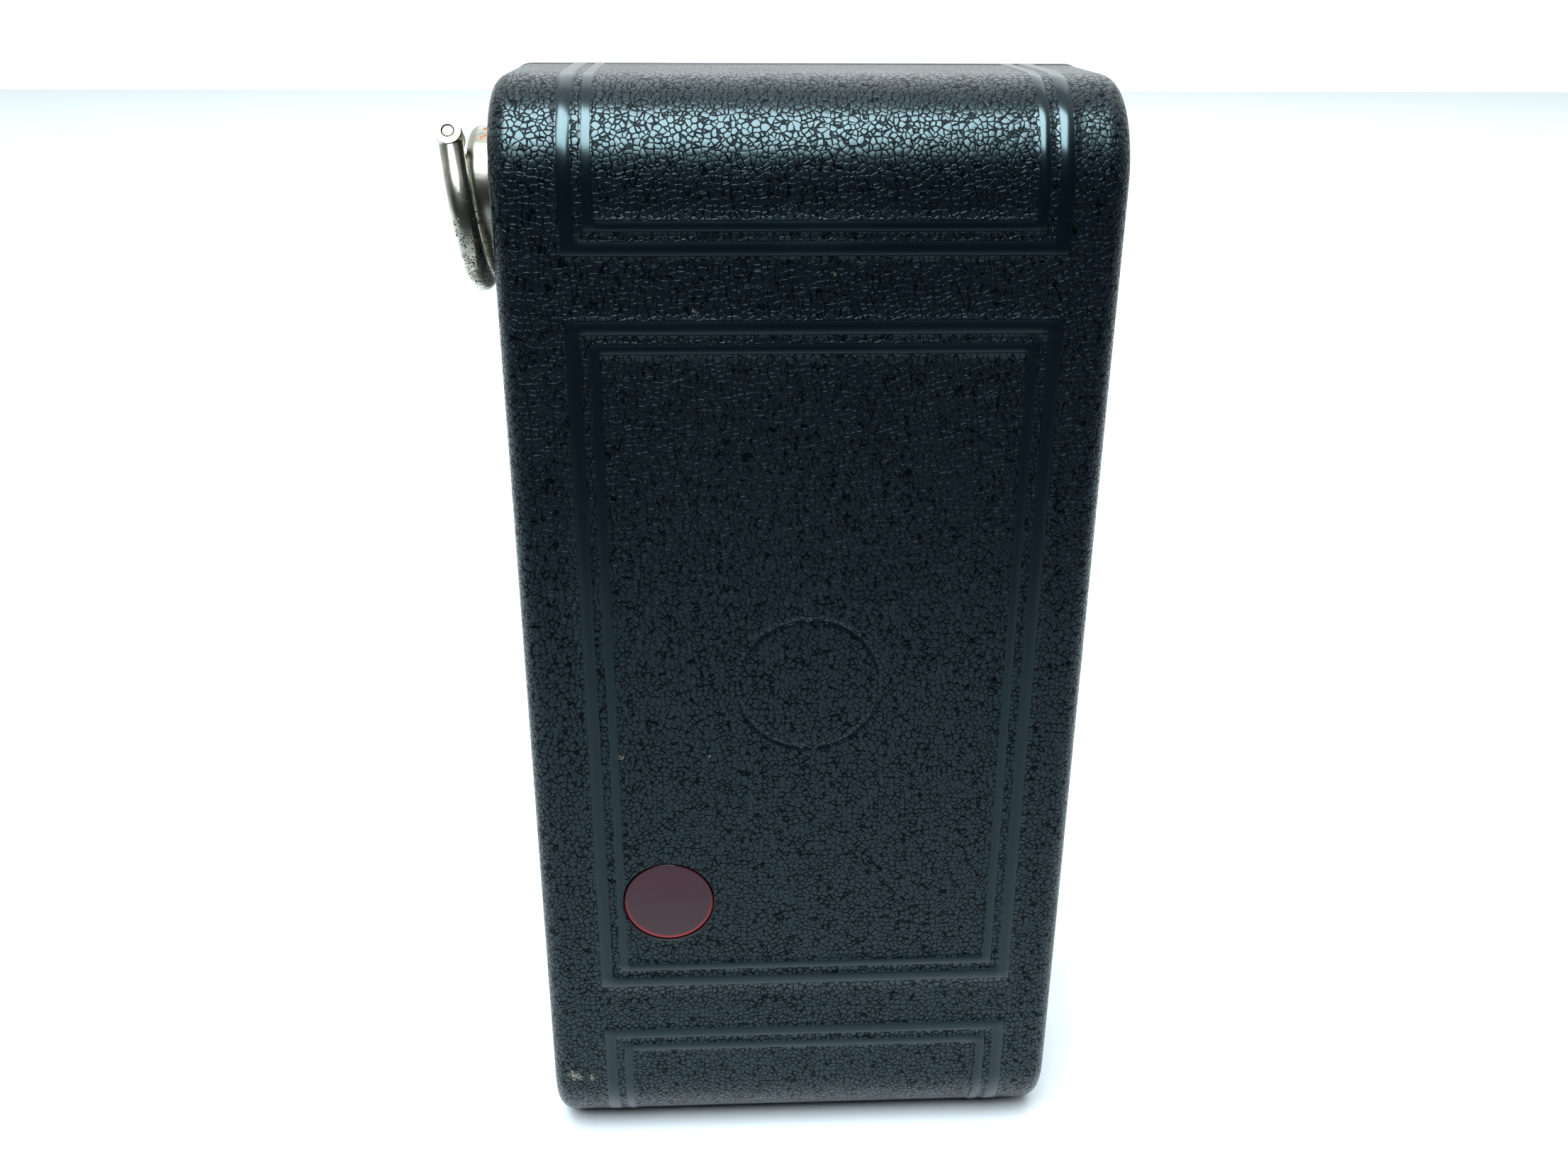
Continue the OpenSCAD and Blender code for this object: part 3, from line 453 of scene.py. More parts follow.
@dataclass(frozen=True)
class BlackEnamel:
    """Stoved black enamel: sprayed on steel and baked, with a faint orange peel and dust-dulled patches."""

    name: str
    colour: str
    rubbed: str
    rough: float
    peel_mm: float = 0.5
    peel_depth_mm: float = 0.04
    dust_per_mm: float = 0.075

    def make(self) -> bpy.types.Material:
        """Build the enamel."""
        g = Graph(self.name)
        place = g.add("TexCoord").outputs["Object"]
        peel = g.add("TexNoise", {"Vector": place, "Scale": 1 / (self.peel_mm * MM), "Detail": 2.0})
        dust = g.add("TexNoise", {"Vector": place, "Scale": self.dust_per_mm / MM, "Detail": 6.0, "Roughness": 0.6})
        colour = g.add("ValToRGB", {"Fac": dust}, stops=((0.4, self.colour), (0.8, self.rubbed)))
        rough = g.add("MapRange", {"Value": dust, "From Min": 0.3, "From Max": 0.7,
                      "To Min": self.rough * 0.8, "To Max": self.rough * 1.3})
        bump = g.add("Bump", {"Height": peel, "Strength": 0.3, "Distance": self.peel_depth_mm * MM})
        return g.finish({"Base Color": colour, "Roughness": rough,
                         "Normal": bump, "Coat Weight": 0.25, "Coat Roughness": 0.18})


@dataclass(frozen=True)
class RedCelluloid:
    """Dyed celluloid sheet: clear deep red, with the dark inside that shows through painted into a darker middle,
    and a painted highlight on its lower rim, where the edge catches the light."""

    name: str = "red_celluloid"
    middle: str = "#280812"
    # The lower rim's colour, and how far it reaches in from the edge, make a painted highlight.
    rim: str = "#7E1418"
    radius_mm: float = 6.95
    painted_rim_light_mm: tuple[float, float] = (0.75, 0.15)
    clouds_per_mm: float = 0.35

    def make(self, centre: Vector) -> bpy.types.Material:
        """Build the celluloid.

        Args:
            centre: The disc's middle, in metres.

        Returns:
            The material.
        """
        g = Graph(self.name)
        place = g.add("TexCoord").outputs["Object"]
        flat = g.add("VectorMath", {0: place, 1: (1.0, 0.0, 1.0)}, operation="MULTIPLY")
        away = g.add("VectorMath", {0: flat, 1: (centre.x, 0.0, centre.z)}, operation="DISTANCE")
        ring = g.add("MapRange", {"Value": away.outputs["Value"],
                     "From Min": (self.radius_mm - self.painted_rim_light_mm[0]) * MM,
                     "From Max": (self.radius_mm - self.painted_rim_light_mm[1]) * MM}, interpolation_type="SMOOTHSTEP")
        cloud = g.add("TexNoise", {"Vector": place, "Scale": self.clouds_per_mm / MM, "Detail": 3.0})
        height = g.add("SeparateXYZ", {0: place}).outputs["Z"]
        lower = g.add("MapRange", {"Value": height, "From Min": centre.z + 1 * MM,
                      "From Max": centre.z - 6 * MM})
        # Painted highlight: the lower part of the edge is mixed towards the lit rim colour.
        painted_rim_light = g.add("Math", {0: ring, 1: lower}, operation="MULTIPLY")
        colour = g.add("Mix", {"Factor": painted_rim_light, 6: linear(self.middle), 7: linear(self.rim)}, data_type="RGBA")
        rough = g.add("MapRange", {"Value": cloud, "To Min": 0.10, "To Max": 0.26})
        return g.finish({"Base Color": colour.outputs[2], "Roughness": rough, "IOR": 1.45})


@dataclass(frozen=True)
class LensGlass:
    """Ground and polished crown glass with a faint blue cast."""

    name: str = "crown_glass"
    tint: str = "#DCE8EE"

    def make(self) -> bpy.types.Material:
        """Build the glass."""
        g = Graph(self.name)
        return g.finish({"Base Color": linear(self.tint), "Roughness": 0.02,
                         "IOR": 1.52, "Transmission Weight": 1.0})


@dataclass(frozen=True)
class TurnedWood:
    """A beech spool core, turned and oiled, with its grain along the axle."""

    name: str = "turned_beech"
    late: str = "#6B4A2C"
    early: str = "#9A7448"
    grain_per_mm: float = 1.4
    grain_depth_mm: float = 0.03

    def make(self) -> bpy.types.Material:
        """Build the wood."""
        g = Graph(self.name)
        place = g.add("TexCoord").outputs["Object"]
        along = g.add("Mapping", {"Vector": place, "Scale": (0.05, 1.0, 1.0)})
        grain = g.add("TexNoise", {"Vector": along, "Scale": self.grain_per_mm / MM, "Detail": 5.0})
        colour = g.add("ValToRGB", {"Fac": grain}, stops=((0.3, self.late), (0.7, self.early)))
        bump = g.add("Bump", {"Height": grain, "Strength": 0.3, "Distance": self.grain_depth_mm * MM})
        return g.finish({"Base Color": colour, "Roughness": 0.5, "Normal": bump})


@dataclass(frozen=True)
class BellowsLeather:
    """Skived black leather: thin, soft and matt, with a fine grain and folds rubbed a little paler."""

    name: str = "bellows_leather"
    # The inner folds' colour is painted shade in the pleats' valleys; rubbed is wear on the outer folds.
    inner: str = "#0B0C0D"
    slope: str = "#15171A"
    rubbed: str = "#2B2D2F"
    grain_per_mm: float = 2.8
    grain_depth_mm: float = 0.03

    def make(self) -> bpy.types.Material:
        """Build the bellows leather. The attribute fold is 1 on the outer folds."""
        g = Graph(self.name)
        place = g.add("TexCoord").outputs["Object"]
        grain = g.add("TexVoronoi", {"Vector": place, "Scale": self.grain_per_mm / MM}, feature="SMOOTH_F1")
        fold = g.add("Attribute", attribute_name="fold", attribute_type="GEOMETRY")
        # Painted shade: the inner folds, the pleats' valleys, take the darkest colour, lightening up the slopes; the
        # paler outer folds are rubbed wear.
        colour = g.add("ValToRGB", {"Fac": fold.outputs["Fac"]},
                       stops=((0.0, self.inner), (0.85, self.slope), (1.0, self.rubbed)))
        bump = g.add("Bump", {"Height": grain, "Strength": 0.5, "Distance": self.grain_depth_mm * MM})
        return g.finish({"Base Color": colour, "Roughness": 0.62,
                         "Normal": bump, "Sheen Weight": 0.15, "Sheen Roughness": 0.4})


class Finish(Enum):
    """The record's material slots, each with the finish that dresses it."""

    LEATHERETTE = "leatherette"
    BLACK_ENAMEL = "black_enamel"
    SHUTTER_ENAMEL = "shutter_enamel"
    RED_CELLULOID = "red_celluloid"
    LENS_GLASS = "lens_glass"
    SPOOL_WOOD = "spool_wood"
    BELLOWS_LEATHER = "bellows_leather"
    AGED_NICKEL = "aged_nickel"
    SPRING_STEEL = "spring_steel"
    BRIGHT_NICKEL = "bright_nickel"


class Finishes:
    """Every material of the camera, made once."""

    def __init__(self) -> None:
        """Make one material for each slot, and the cut edge of the leather."""
        scuffs = (Scuff((-37.6, -16.5, 14.8), 3.2, 0.4), Scuff((-27.6, -16.5, 75.3), 1.1, 0.46),
                  Scuff((-35.0, -16.5, 14.2), 2.2, 0.36), Scuff((-14.4, -16.5, 75.3), 0.5, 0.5),
                  Scuff((3.0, -16.5, 147.0), 0.6, 0.44), Scuff((-15.5, -16.5, 142.0), 2.4, 0.26))
        self.by_slot: dict[Finish, bpy.types.Material] = {
            Finish.LEATHERETTE: Leatherette(scuffs=scuffs).make(),
            Finish.BLACK_ENAMEL: BlackEnamel("black_enamel", "#0B0C0D", "#1B1D1E", 0.38).make(),
            Finish.SHUTTER_ENAMEL: BlackEnamel("shutter_enamel", "#090909", "#141414", 0.24).make(),
            Finish.RED_CELLULOID: RedCelluloid().make(node_middle("window_disc")),
            Finish.LENS_GLASS: LensGlass().make(),
            Finish.SPOOL_WOOD: TurnedWood().make(),
            Finish.BELLOWS_LEATHER: BellowsLeather().make(),
            Finish.AGED_NICKEL: AgedNickel().make(),
            Finish.SPRING_STEEL: Metal("spring_steel", "#9A9892", "#6E6C68", 0.34).make(),
            Finish.BRIGHT_NICKEL: Metal("nickel_plate", "#D2CDC0", "#A8A293", 0.24).make(),
        }
        self.cut_edge = BlackEnamel("cut_leather_edge", "#0D0807", "#1C1210", 0.8, 0.2).make()

    def of(self, slot: str) -> bpy.types.Material:
        """The material of a slot, by the record's name for it."""
        return self.by_slot[Finish(slot)]


@dataclass
class Bench:
    """What every sub-assembly needs: the frame, its finishes, and which slot each node takes."""

    frame: dict
    finishes: Finishes
    slots: dict[str, str] = field(default_factory=dict)

    def __post_init__(self) -> None:
        """Read each node's slot from the record."""
        for row in self.frame["record"]["subparts"]:
            self.slots[row["node"]] = row["material_slot"]

    def dress(self, node: str) -> None:
        """Keep a node's shape and give it its finish."""
        wear(self.frame["nodes"][node], self.finishes.of(self.slots[node]))

    def fit(self, piece: bpy.types.Object, body: str, slot: str, *nodes: str) -> None:
        """Hand a finished piece over to the frame.

        Args:
            piece: The finished piece.
            body: The body that it rides on.
            slot: The record's material slot; not used.
            nodes: The nodes that it stands for.
        """
        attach(piece, body)
        if nodes:
            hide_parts(*nodes)
        LOG.info("%s rides on %s", piece.name, body)

    def travel(self, joint: str) -> float:
        """How far a sliding joint goes, in metres."""
        return next(j for j in self.frame["joints"] if j["name"] == joint)["range_m"][1]

    def rounded_copy(self, node: str, break_mm: float = METAL_EDGE_MM, segments: int = 2) -> bpy.types.Object:
        """Copy a node, merge it and break its sharp edges, as a maker does with a fine file.

        Args:
            node: The node's name.
            break_mm: How wide each broken edge is.
            segments: How many faces round each broken edge.

        Returns:
            The piece, which has taken the node's place.
        """
        source = self.frame["nodes"][node]
        piece = bpy.data.objects.new(f"{node}_finished", source.data.copy())
        bpy.context.scene.collection.objects.link(piece)
        pick_only(piece)
        bpy.ops.object.mode_set(mode="EDIT")
        bpy.ops.mesh.select_all(action="SELECT")
        bpy.ops.mesh.remove_doubles(threshold=WELD_MM * MM)
        bpy.ops.mesh.dissolve_limited(angle_limit=math.radians(FLAT_DEG))
        bpy.ops.object.mode_set(mode="OBJECT")
        apply_modifier(piece, "BEVEL", width=break_mm * MM, segments=segments, limit_method="ANGLE",
                       angle_limit=math.radians(SHARP_DEG), use_clamp_overlap=True, miter_outer="MITER_ARC")
        smooth(piece)
        wear(piece, self.finishes.of(self.slots[node]))
        self.fit(piece, source["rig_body"], self.slots[node], node)
        return piece


@dataclass(frozen=True)
class TooledFrame:
    """Two nested smooth bands round a rectangle, in millimetres across the back and along its wrap. A frame that
    runs on over an end of the cover has that side far off the wrap."""

    left: float
    right: float
    low: float
    high: float
    outer_w: float = 1.9
    gap: float = 1.2
    inner_w: float = 1.4
    soft: float = 0.18

    def steps(self) -> list[float]:
        """How far in from the frame's outside each band starts or ends."""
        return [0.0, self.outer_w, self.outer_w + self.gap, self.outer_w + self.gap + self.inner_w]

    def marks(self, start: float, end: float) -> list[float]:
        """Places on both sides of every soft step, measured in from two opposite sides of the frame.

        Args:
            start: One side.
            end: The opposite side.

        Returns:
            The places.
        """
        return [place + side * self.soft / 2 for step in self.steps() for place in (start + step, end - step)
                for side in (-1, 1)]

    def smoothness(self, across: np.ndarray, along: np.ndarray) -> np.ndarray:
        """How smooth the bands leave each point.

        Args:
            across: Places across the back.
            along: Places along the wrap.

        Returns:
            A number from 0, grained, to 1, on a band.
        """
        inside = np.minimum(np.minimum(across - self.left, self.right - across),
                            np.minimum(along - self.low, self.high - along))
        a, b, c, d = self.steps()
        outer = np.clip(np.minimum(inside - a, b - inside) / self.soft + 0.5, 0, 1)
        inner = np.clip(np.minimum(inside - c, d - inside) / self.soft + 0.5, 0, 1)
        return np.maximum(outer, inner)


@dataclass
class CoverLeather:
    """The leather that wraps the back cover: round both ends, over the rolled side edges, with its tooling.

    The grain lies sink below the bands, and the ring is a groove. The sheet is laid out flat, as places across it,
    depths below its outer face and places along it, and place wraps it.
    """

    edge_r: float = 3.0
    flange: float = 6.5
    bend_r: float = 13.5
    thick: float = 0.6
    sink: float = 0.12
    groove: float = 0.2
    ring_middle: tuple[float, float] = (0.4, 87.0)
    ring_r: float = 10.5
    ring_half_w: float = 0.26
    window_r: float = 7.3
    across_step: float = 1.6
    along_step: float = 1.9
    fine_step: float = 0.3
    bands: tuple[TooledFrame, ...] = (TooledFrame(-32.4, 33.5, 32.9, 141.0),
                                      TooledFrame(-32.4, 33.5, 149.4, OFF_WRAP_MM),
                                      TooledFrame(-32.4, 33.5, -OFF_WRAP_MM, 24.3))

    def __post_init__(self) -> None:
        """Take the wrap's size and place from the node that it stands for."""
        low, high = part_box("cover_leather")
        self.half_w = (high.x - low.x) / 2 / MM
        self.tall = (high.z - low.z) / MM
        self.back_y = low.y / MM
        self.lip_y = high.y / MM
        window = node_middle("window_disc")
        self.window = (window.x / MM, window.z / MM)
        self.bend_l = self.bend_r * math.pi / 2
        self.end_l = self.lip_y - self.back_y - self.bend_r

    def section(self) -> np.ndarray:
        """Points across the wrap, as rows of place across and depth below the outer face."""
        turn = np.linspace(0, math.pi / 2, 9)
        depths = np.linspace(self.flange, self.edge_r, 5)[:-1]
        side = [(self.half_w, d) for d in depths]
        side += [(self.half_w - self.edge_r + self.edge_r * math.cos(t), self.edge_r - self.edge_r * math.sin(t))
                 for t in turn]
        edge = self.half_w - self.edge_r
        steps = [x for band in self.bands for x in band.marks(band.left, band.right)]
        fine = [self.fine_marks(self.ring_middle[0], self.ring_r), self.fine_marks(self.window[0], self.window_r)]
        marks = self.merged(steps, np.concatenate(fine), np.arange(-edge + 1.0, edge, self.across_step))
        flat = [(x, 0.0) for x in marks[::-1] if abs(x) < edge - 0.3]
        return np.array(side + flat + [(-x, d) for x, d in reversed(side)])

    def stations(self) -> np.ndarray:
        """Places along the wrap. On the flat back they are heights above the lower end."""
        low_bend = self.bend_r - self.bend_l
        high_bend = self.tall - self.bend_r + self.bend_l
        steps = [z for band in self.bands for z in band.marks(band.low, band.high) if abs(z) < self.tall]
        bends = [np.linspace(low_bend - self.end_l, low_bend, 9), np.linspace(low_bend, self.bend_r, 25),
                 np.linspace(self.tall - self.bend_r, high_bend, 25),
                 np.linspace(high_bend, high_bend + self.end_l, 9)]
        fine = [self.fine_marks(self.ring_middle[1], self.ring_r), self.fine_marks(self.window[1], self.window_r)]
        firm = np.concatenate([steps, *bends])
        wide = np.arange(self.bend_r, self.tall - self.bend_r, self.along_step)
        return self.merged(firm, np.concatenate(fine), wide)

    def fine_marks(self, middle: float, radius: float) -> np.ndarray:
        """Close marks across a circle and a little past it, so that its edge comes out round."""
        return np.arange(middle - radius - 0.9, middle + radius + 0.95, self.fine_step)

    def merged(self, firm: list[float] | np.ndarray, fine: np.ndarray, wide: np.ndarray) -> np.ndarray:
        """Put marks in order, and drop those that crowd a firmer one.

        Args:
            firm: Marks that must stay.
            fine: Marks that give way to firm ones within an eighth of a millimetre.
            wide: Marks that give way to any within half a millimetre.

        Returns:
            The marks from low to high.
        """
        kept = sorted({round(float(v), 3) for v in firm})
        for loose, room in ((fine, 0.12), (wide, 0.5)):
            settled = np.array(kept)
            kept += [round(float(v), 3) for v in loose if np.abs(settled - v).min() > room]
        return np.array(sorted(set(kept)))

    def place(self, across: np.ndarray, depth: np.ndarray, along: np.ndarray) -> np.ndarray:
        """Wrap flat places onto the cover.

        Args:
            across: Places across the back.
            depth: Depths below the outer face.
            along: Places along the wrap.

        Returns:
            Points as rows of X, Y and Z in metres.
        """
        mirrored = along > self.tall / 2
        run = np.where(mirrored, self.tall - along, along)
        low_bend = self.bend_r - self.bend_l
        turn = np.clip((self.bend_r - run) / self.bend_r, 0, math.pi / 2)
        reach = self.bend_r - depth
        y = self.back_y + self.bend_r - reach * np.cos(turn) + np.maximum(low_bend - run, 0)
        z = np.where(run > self.bend_r, run, self.bend_r - reach * np.sin(turn))
        z = np.where(mirrored, self.tall - z, z)
        return np.stack([across, y, z], axis=-1) * MM

    def smoothness(self, across: np.ndarray, along: np.ndarray) -> np.ndarray:
        """How smooth the three frames' bands leave each point, from 0 to 1."""
        return np.maximum.reduce([band.smoothness(across, along) for band in self.bands])

    def ring(self, across: np.ndarray, along: np.ndarray) -> np.ndarray:
        """How deep the round groove lies at each point, from 0 to 1."""
        away = np.hypot(across - self.ring_middle[0], along - self.ring_middle[1])
        return np.exp(-((away - self.ring_r) / self.ring_half_w) ** 2)

    def make(self, bench: Bench) -> None:
        """Build the leather and hand it over.

        Args:
            bench: The frame and finishes.
        """
        section, stations = self.section(), self.stations()
        bpy.ops.object.select_all(action="DESELECT")
        bpy.ops.mesh.primitive_grid_add(x_subdivisions=len(section) - 1, y_subdivisions=len(stations) - 1,
                                        size=2, location=(0, 0, 0))
        piece = bpy.context.active_object
        piece.name = "back_cover_leather"
        column, row = self.grid_numbers(piece, len(section), len(stations))
        across, depth, along = section[column, 0], section[column, 1], stations[row]
        smoothed = self.smoothness(across, along) * (depth < 2.0)
        ring = self.ring(across, along) * (depth < 1e-6)
        fade = np.clip(1 - depth / self.edge_r, 0, 1)
        lower = self.sink * (1 - smoothed) * fade + self.groove * ring
        points = self.place(across, depth + lower, along)
        piece.data.vertices.foreach_set("co", points.astype(np.float32).ravel())
        tooled = piece.data.attributes.new("tooled", "FLOAT", "POINT")
        tooled.data.foreach_set("value", np.maximum(smoothed, ring).astype(np.float32))
        piece.data.update()
        self.cut_window(piece)
        face_outwards(piece)
        back = min(piece.data.polygons, key=lambda face: face.center.y)
        if back.normal.y > 0:
            piece.data.flip_normals()
        outer = len(piece.data.polygons)
        apply_modifier(piece, "SOLIDIFY", thickness=self.thick * MM, offset=-1.0, use_even_offset=True)
        self.thin_inside(piece, outer)
        smooth(piece, 40)
        wear(piece, bench.finishes.of("leatherette"))
        piece.data.materials.append(bench.finishes.cut_edge)
        self.mark_cut_edges(piece)
        bench.fit(piece, COVER, "leatherette", "cover_leather")

    def grid_numbers(self, piece: bpy.types.Object, columns: int, rows: int) -> tuple[np.ndarray, np.ndarray]:
        """Number the grid's vertices by their places.

        Args:
            piece: The flat grid, 2 wide and 2 long.
            columns: How many points it has across.
            rows: How many points it has along.

        Returns:
            The column and the row of each vertex.
        """
        flat = numbers(piece.data.vertices, "co")
        column = np.rint((flat[:, 0] + 1) / 2 * (columns - 1)).astype(int)
        row = np.rint((flat[:, 1] + 1) / 2 * (rows - 1)).astype(int)
        return column, row

    def cut_window(self, piece: bpy.types.Object) -> None:
        """Punch the round hole for the red window in the open sheet, and true its edge to the circle.

        Args:
            piece: The sheet, before it has its thickness.
        """
        pick_faces(piece, self.from_window(numbers(piece.data.polygons, "center")) < self.window_r)
        bpy.ops.object.mode_set(mode="EDIT")
        bpy.ops.mesh.delete(type="FACE")
        bpy.ops.mesh.select_mode(type="VERT")
        bpy.ops.mesh.select_all(action="DESELECT")
        bpy.ops.mesh.select_non_manifold(extend=False, use_wire=False, use_multi_face=False,
                                         use_non_contiguous=False, use_verts=False)
        bpy.ops.object.mode_set(mode="OBJECT")
        for vertex in piece.data.vertices:
            away = self.from_window(np.array([vertex.co]))[0] if vertex.select else math.inf
            if away < self.window_r + 1.0:
                grow = self.window_r / away
                vertex.co.x = (self.window[0] + (vertex.co.x / MM - self.window[0]) * grow) * MM
                vertex.co.z = (self.window[1] + (vertex.co.z / MM - self.window[1]) * grow) * MM
        piece.data.update()

    def from_window(self, points: np.ndarray) -> np.ndarray:
        """How far points of the back lie from the window's middle, in millimetres. Off the back they are far."""
        away = np.hypot(points[:, 0] / MM - self.window[0], points[:, 2] / MM - self.window[1])
        return np.where(points[:, 1] / MM > self.back_y + 1.0, math.inf, away)

    def thin_inside(self, piece: bpy.types.Object, outer: int) -> None:
        """Merge the flat faces inside the leather, which is glued down.

        Args:
            piece: The leather.
            outer: How many faces, from the first, belong to the outer side.
        """
        order = np.arange(len(piece.data.polygons))
        pick_faces(piece, (order >= outer) & (order < 2 * outer))
        bpy.ops.object.mode_set(mode="EDIT")
        bpy.ops.mesh.dissolve_limited(angle_limit=math.radians(2))
        bpy.ops.object.mode_set(mode="OBJECT")

    def mark_cut_edges(self, piece: bpy.types.Object) -> None:
        """Give the second material to the leather's cut edge round the window.

        Args:
            piece: The leather.
        """
        near = self.from_window(numbers(piece.data.polygons, "center")) < self.window_r + 0.1
        wall = near & (np.abs(numbers(piece.data.polygons, "normal")[:, 1]) < 0.3)
        piece.data.polygons.foreach_set("material_index", wall.astype(np.int32))
        piece.data.update()


@dataclass
class BackCover:
    """The lift-off back with its leather, red window, pressure plate and springs."""

    window_edge: float = 0.45
    leather: CoverLeather = field(default_factory=CoverLeather)

    def make(self, bench: Bench) -> None:
        """Build and dress every piece of the back cover.

        Args:
            bench: The frame and finishes.
        """
        self.leather.make(bench)
        bench.rounded_copy("window_disc", self.window_edge, 5)
        bench.rounded_copy("window_ring")
        bench.rounded_copy("pressure_plate", 0.15)
        bench.rounded_copy("pressure_springs", 0.08)
        bench.dress("cover_shell")


@dataclass
class WindingKey:
    """The winding key with its folding loop, and the spool that it turns."""

    edges: dict[str, float] = field(default_factory=lambda: {
        "key_boss": 0.25, "key_pin": 0.2, "key_loop": 0.35, "key_shaft": 0.1, "key_bush": 0.1,
        "spool_core": 0.2, "spool_flanges": 0.2})

    def make(self, bench: Bench) -> None:
        """Build and dress the key and the spool."""
        for node, width in self.edges.items():
            bench.rounded_copy(node, width, 3)


@dataclass
class Case:
    """The case between the covers: its frame, leathered panels, film path and fittings."""

    panels: tuple[str, ...] = ("side_leather_left", "side_leather_right", "front_leather")
    fittings: tuple[str, ...] = ("case_screws", "tripod_bush", "gate_plate", "film_roller_top",
                                 "film_roller_bottom", "idle_spool_pin", "spool_pin_top", "spool_pin_bottom",
                                 "hinge_leaf", "hinge_rod", "release_button", "front_plate")
    plain: tuple[str, ...] = ("side_plate_left", "side_plate_right", "chamber_wall_top", "chamber_wall_bottom",
                              "box_sides", "cover_detents", "bellows_frames")
    spring_edge: float = 0.02
    springs: dict[str, str] = field(default_factory=lambda: {
        "pin_spring_top": "pin_pull_top", "pin_spring_bottom": "pin_pull_bottom"})

    def make(self, bench: Bench) -> None:
        """Build and dress the case.

        Args:
            bench: The frame and finishes.
        """
        for node in self.panels:
            bench.rounded_copy(node, LEATHER_EDGE_MM)
        for node in self.fittings:
            bench.rounded_copy(node)
        for node in self.plain:
            bench.dress(node)
        for node, joint in self.springs.items():
            self.fit_spring(bench, node)

    def fit_spring(self, bench: Bench, node: str) -> None:
        """Give a coil spring broken edges and a mesh of its own.

        Args:
            bench: The frame and finishes.
            node: The spring's node.
        """
        spring = bench.rounded_copy(node, self.spring_edge)
        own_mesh(spring)


@dataclass
class BedDoor:
    """The bed door with its leather, hinge, struts, braces and folding foot."""

    fittings: tuple[str, ...] = ("door_plate", "door_knuckles", "door_latch", "strut_lugs", "foot_hinge", "foot",
                                 "strut_left", "strut_right", "brace_low_left", "brace_low_right",
                                 "brace_top_left", "brace_top_right")

    def make(self, bench: Bench) -> None:
        """Build and dress the bed door."""
        bench.rounded_copy("door_leather", LEATHER_EDGE_MM)
        for node in self.fittings:
            bench.rounded_copy(node)


@dataclass
class Bellows:
    """Pleated leather between the picture frame and the lens panel, its folds spaced by the lens panel's travel. From
    the back ring to the front one each half width shrinks by narrow and each half height by shorten."""

    pleats: int = 14
    pleat_depth: float = 3.4
    sheet: float = 0.08
    corner: float = 5.0
    narrow: float = 7.0
    shorten: float = 17.0
    inset: float = 0.4
    clear: float = 0.1

    def ring(self, half_w: float, half_h: float, y: float, middle_z: float) -> list[tuple[float, float, float]]:
        """Lay out one fold of the bellows, a rectangle with cut corners, in millimetres.

        Args:
            half_w: Half its width.
            half_h: Half its height.
            y: How far forward it lies.
            middle_z: The height of its middle.

        Returns:
            Its eight corners in order.
        """
        c = self.corner
        flat = [(half_w, half_h - c), (half_w - c, half_h), (-half_w + c, half_h), (-half_w, half_h - c),
                (-half_w, -half_h + c), (-half_w + c, -half_h), (half_w - c, -half_h), (half_w, -half_h + c)]
        return [(x, y, middle_z + z) for x, z in flat]

    def make(self, bench: Bench) -> None:
        """Build the bellows from its back ring to its front ring, fold by fold.

        Args:
            bench: The frame and finishes.
        """
        low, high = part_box("bellows")
        travel = bench.travel("panel_draw") / MM
        y0, y1 = low.y / MM, high.y / MM
        middle_z = (low.z + high.z) / 2 / MM
        back = ((high.x - low.x) / 2 / MM - self.inset, (high.z - low.z) / 2 / MM - self.inset)
        front = (back[0] - self.narrow, back[1] - self.shorten)
        t = np.linspace(0, 1, 2001)
        opened = (y1 - y0) * t + travel * t * t * (3 - 2 * t)
        count = 2 * self.pleats + 1
        shares = np.interp(np.linspace(0, opened[-1], count), opened, t)
        points: list[tuple[float, float, float]] = []
        for i, share in enumerate(shares):
            drop = self.pleat_depth if i % 2 else 0.0
            half_w = back[0] + (front[0] - back[0]) * share - drop
            half_h = back[1] + (front[1] - back[1]) * share - drop
            points += self.ring(half_w, half_h, y0 + self.clear + (y1 - y0 - 2 * self.clear) * share, middle_z)
        corners = 8
        faces = [(i * corners + k, i * corners + (k + 1) % corners, (i + 1) * corners + (k + 1) % corners,
                  (i + 1) * corners + k) for i in range(count - 1) for k in range(corners)]
        mesh = bpy.data.meshes.new("bellows_pleats")
        mesh.from_pydata([tuple(v * MM for v in p) for p in points], [], faces)
        piece = bpy.data.objects.new("bellows_pleats", mesh)
        bpy.context.scene.collection.objects.link(piece)
        fold = mesh.attributes.new("fold", "FLOAT", "POINT")
        fold.data.foreach_set("value", [float(i % 2 == 0) for i in range(count) for _ in range(corners)])
        face_outwards(piece)
        apply_modifier(piece, "SOLIDIFY", thickness=self.sheet * MM, offset=0.0)
        smooth(piece, 20)
        wear(piece, bench.finishes.of("bellows_leather"))
        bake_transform(piece)
        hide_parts("bellows")


@dataclass
class LensPanel:
    """The lens panel with its shutter, lens, levers, finder and bellows."""

    edges: dict[str, float] = field(default_factory=lambda: {
        "lens_panel": 0.15, "shutter_case": 0.3, "shutter_face": 0.25, "lens_cell": 0.12, "aperture_disc": 0.08,
        "speed_lever": 0.12, "release_lever": 0.15, "finder": 0.35, "lens_glass": 0.05})
    bellows: Bellows = field(default_factory=Bellows)

    def make(self, bench: Bench) -> None:
        """Build and dress the lens panel."""
        self.bellows.make(bench)
        for node, width in self.edges.items():
            bench.rounded_copy(node, width, 3)


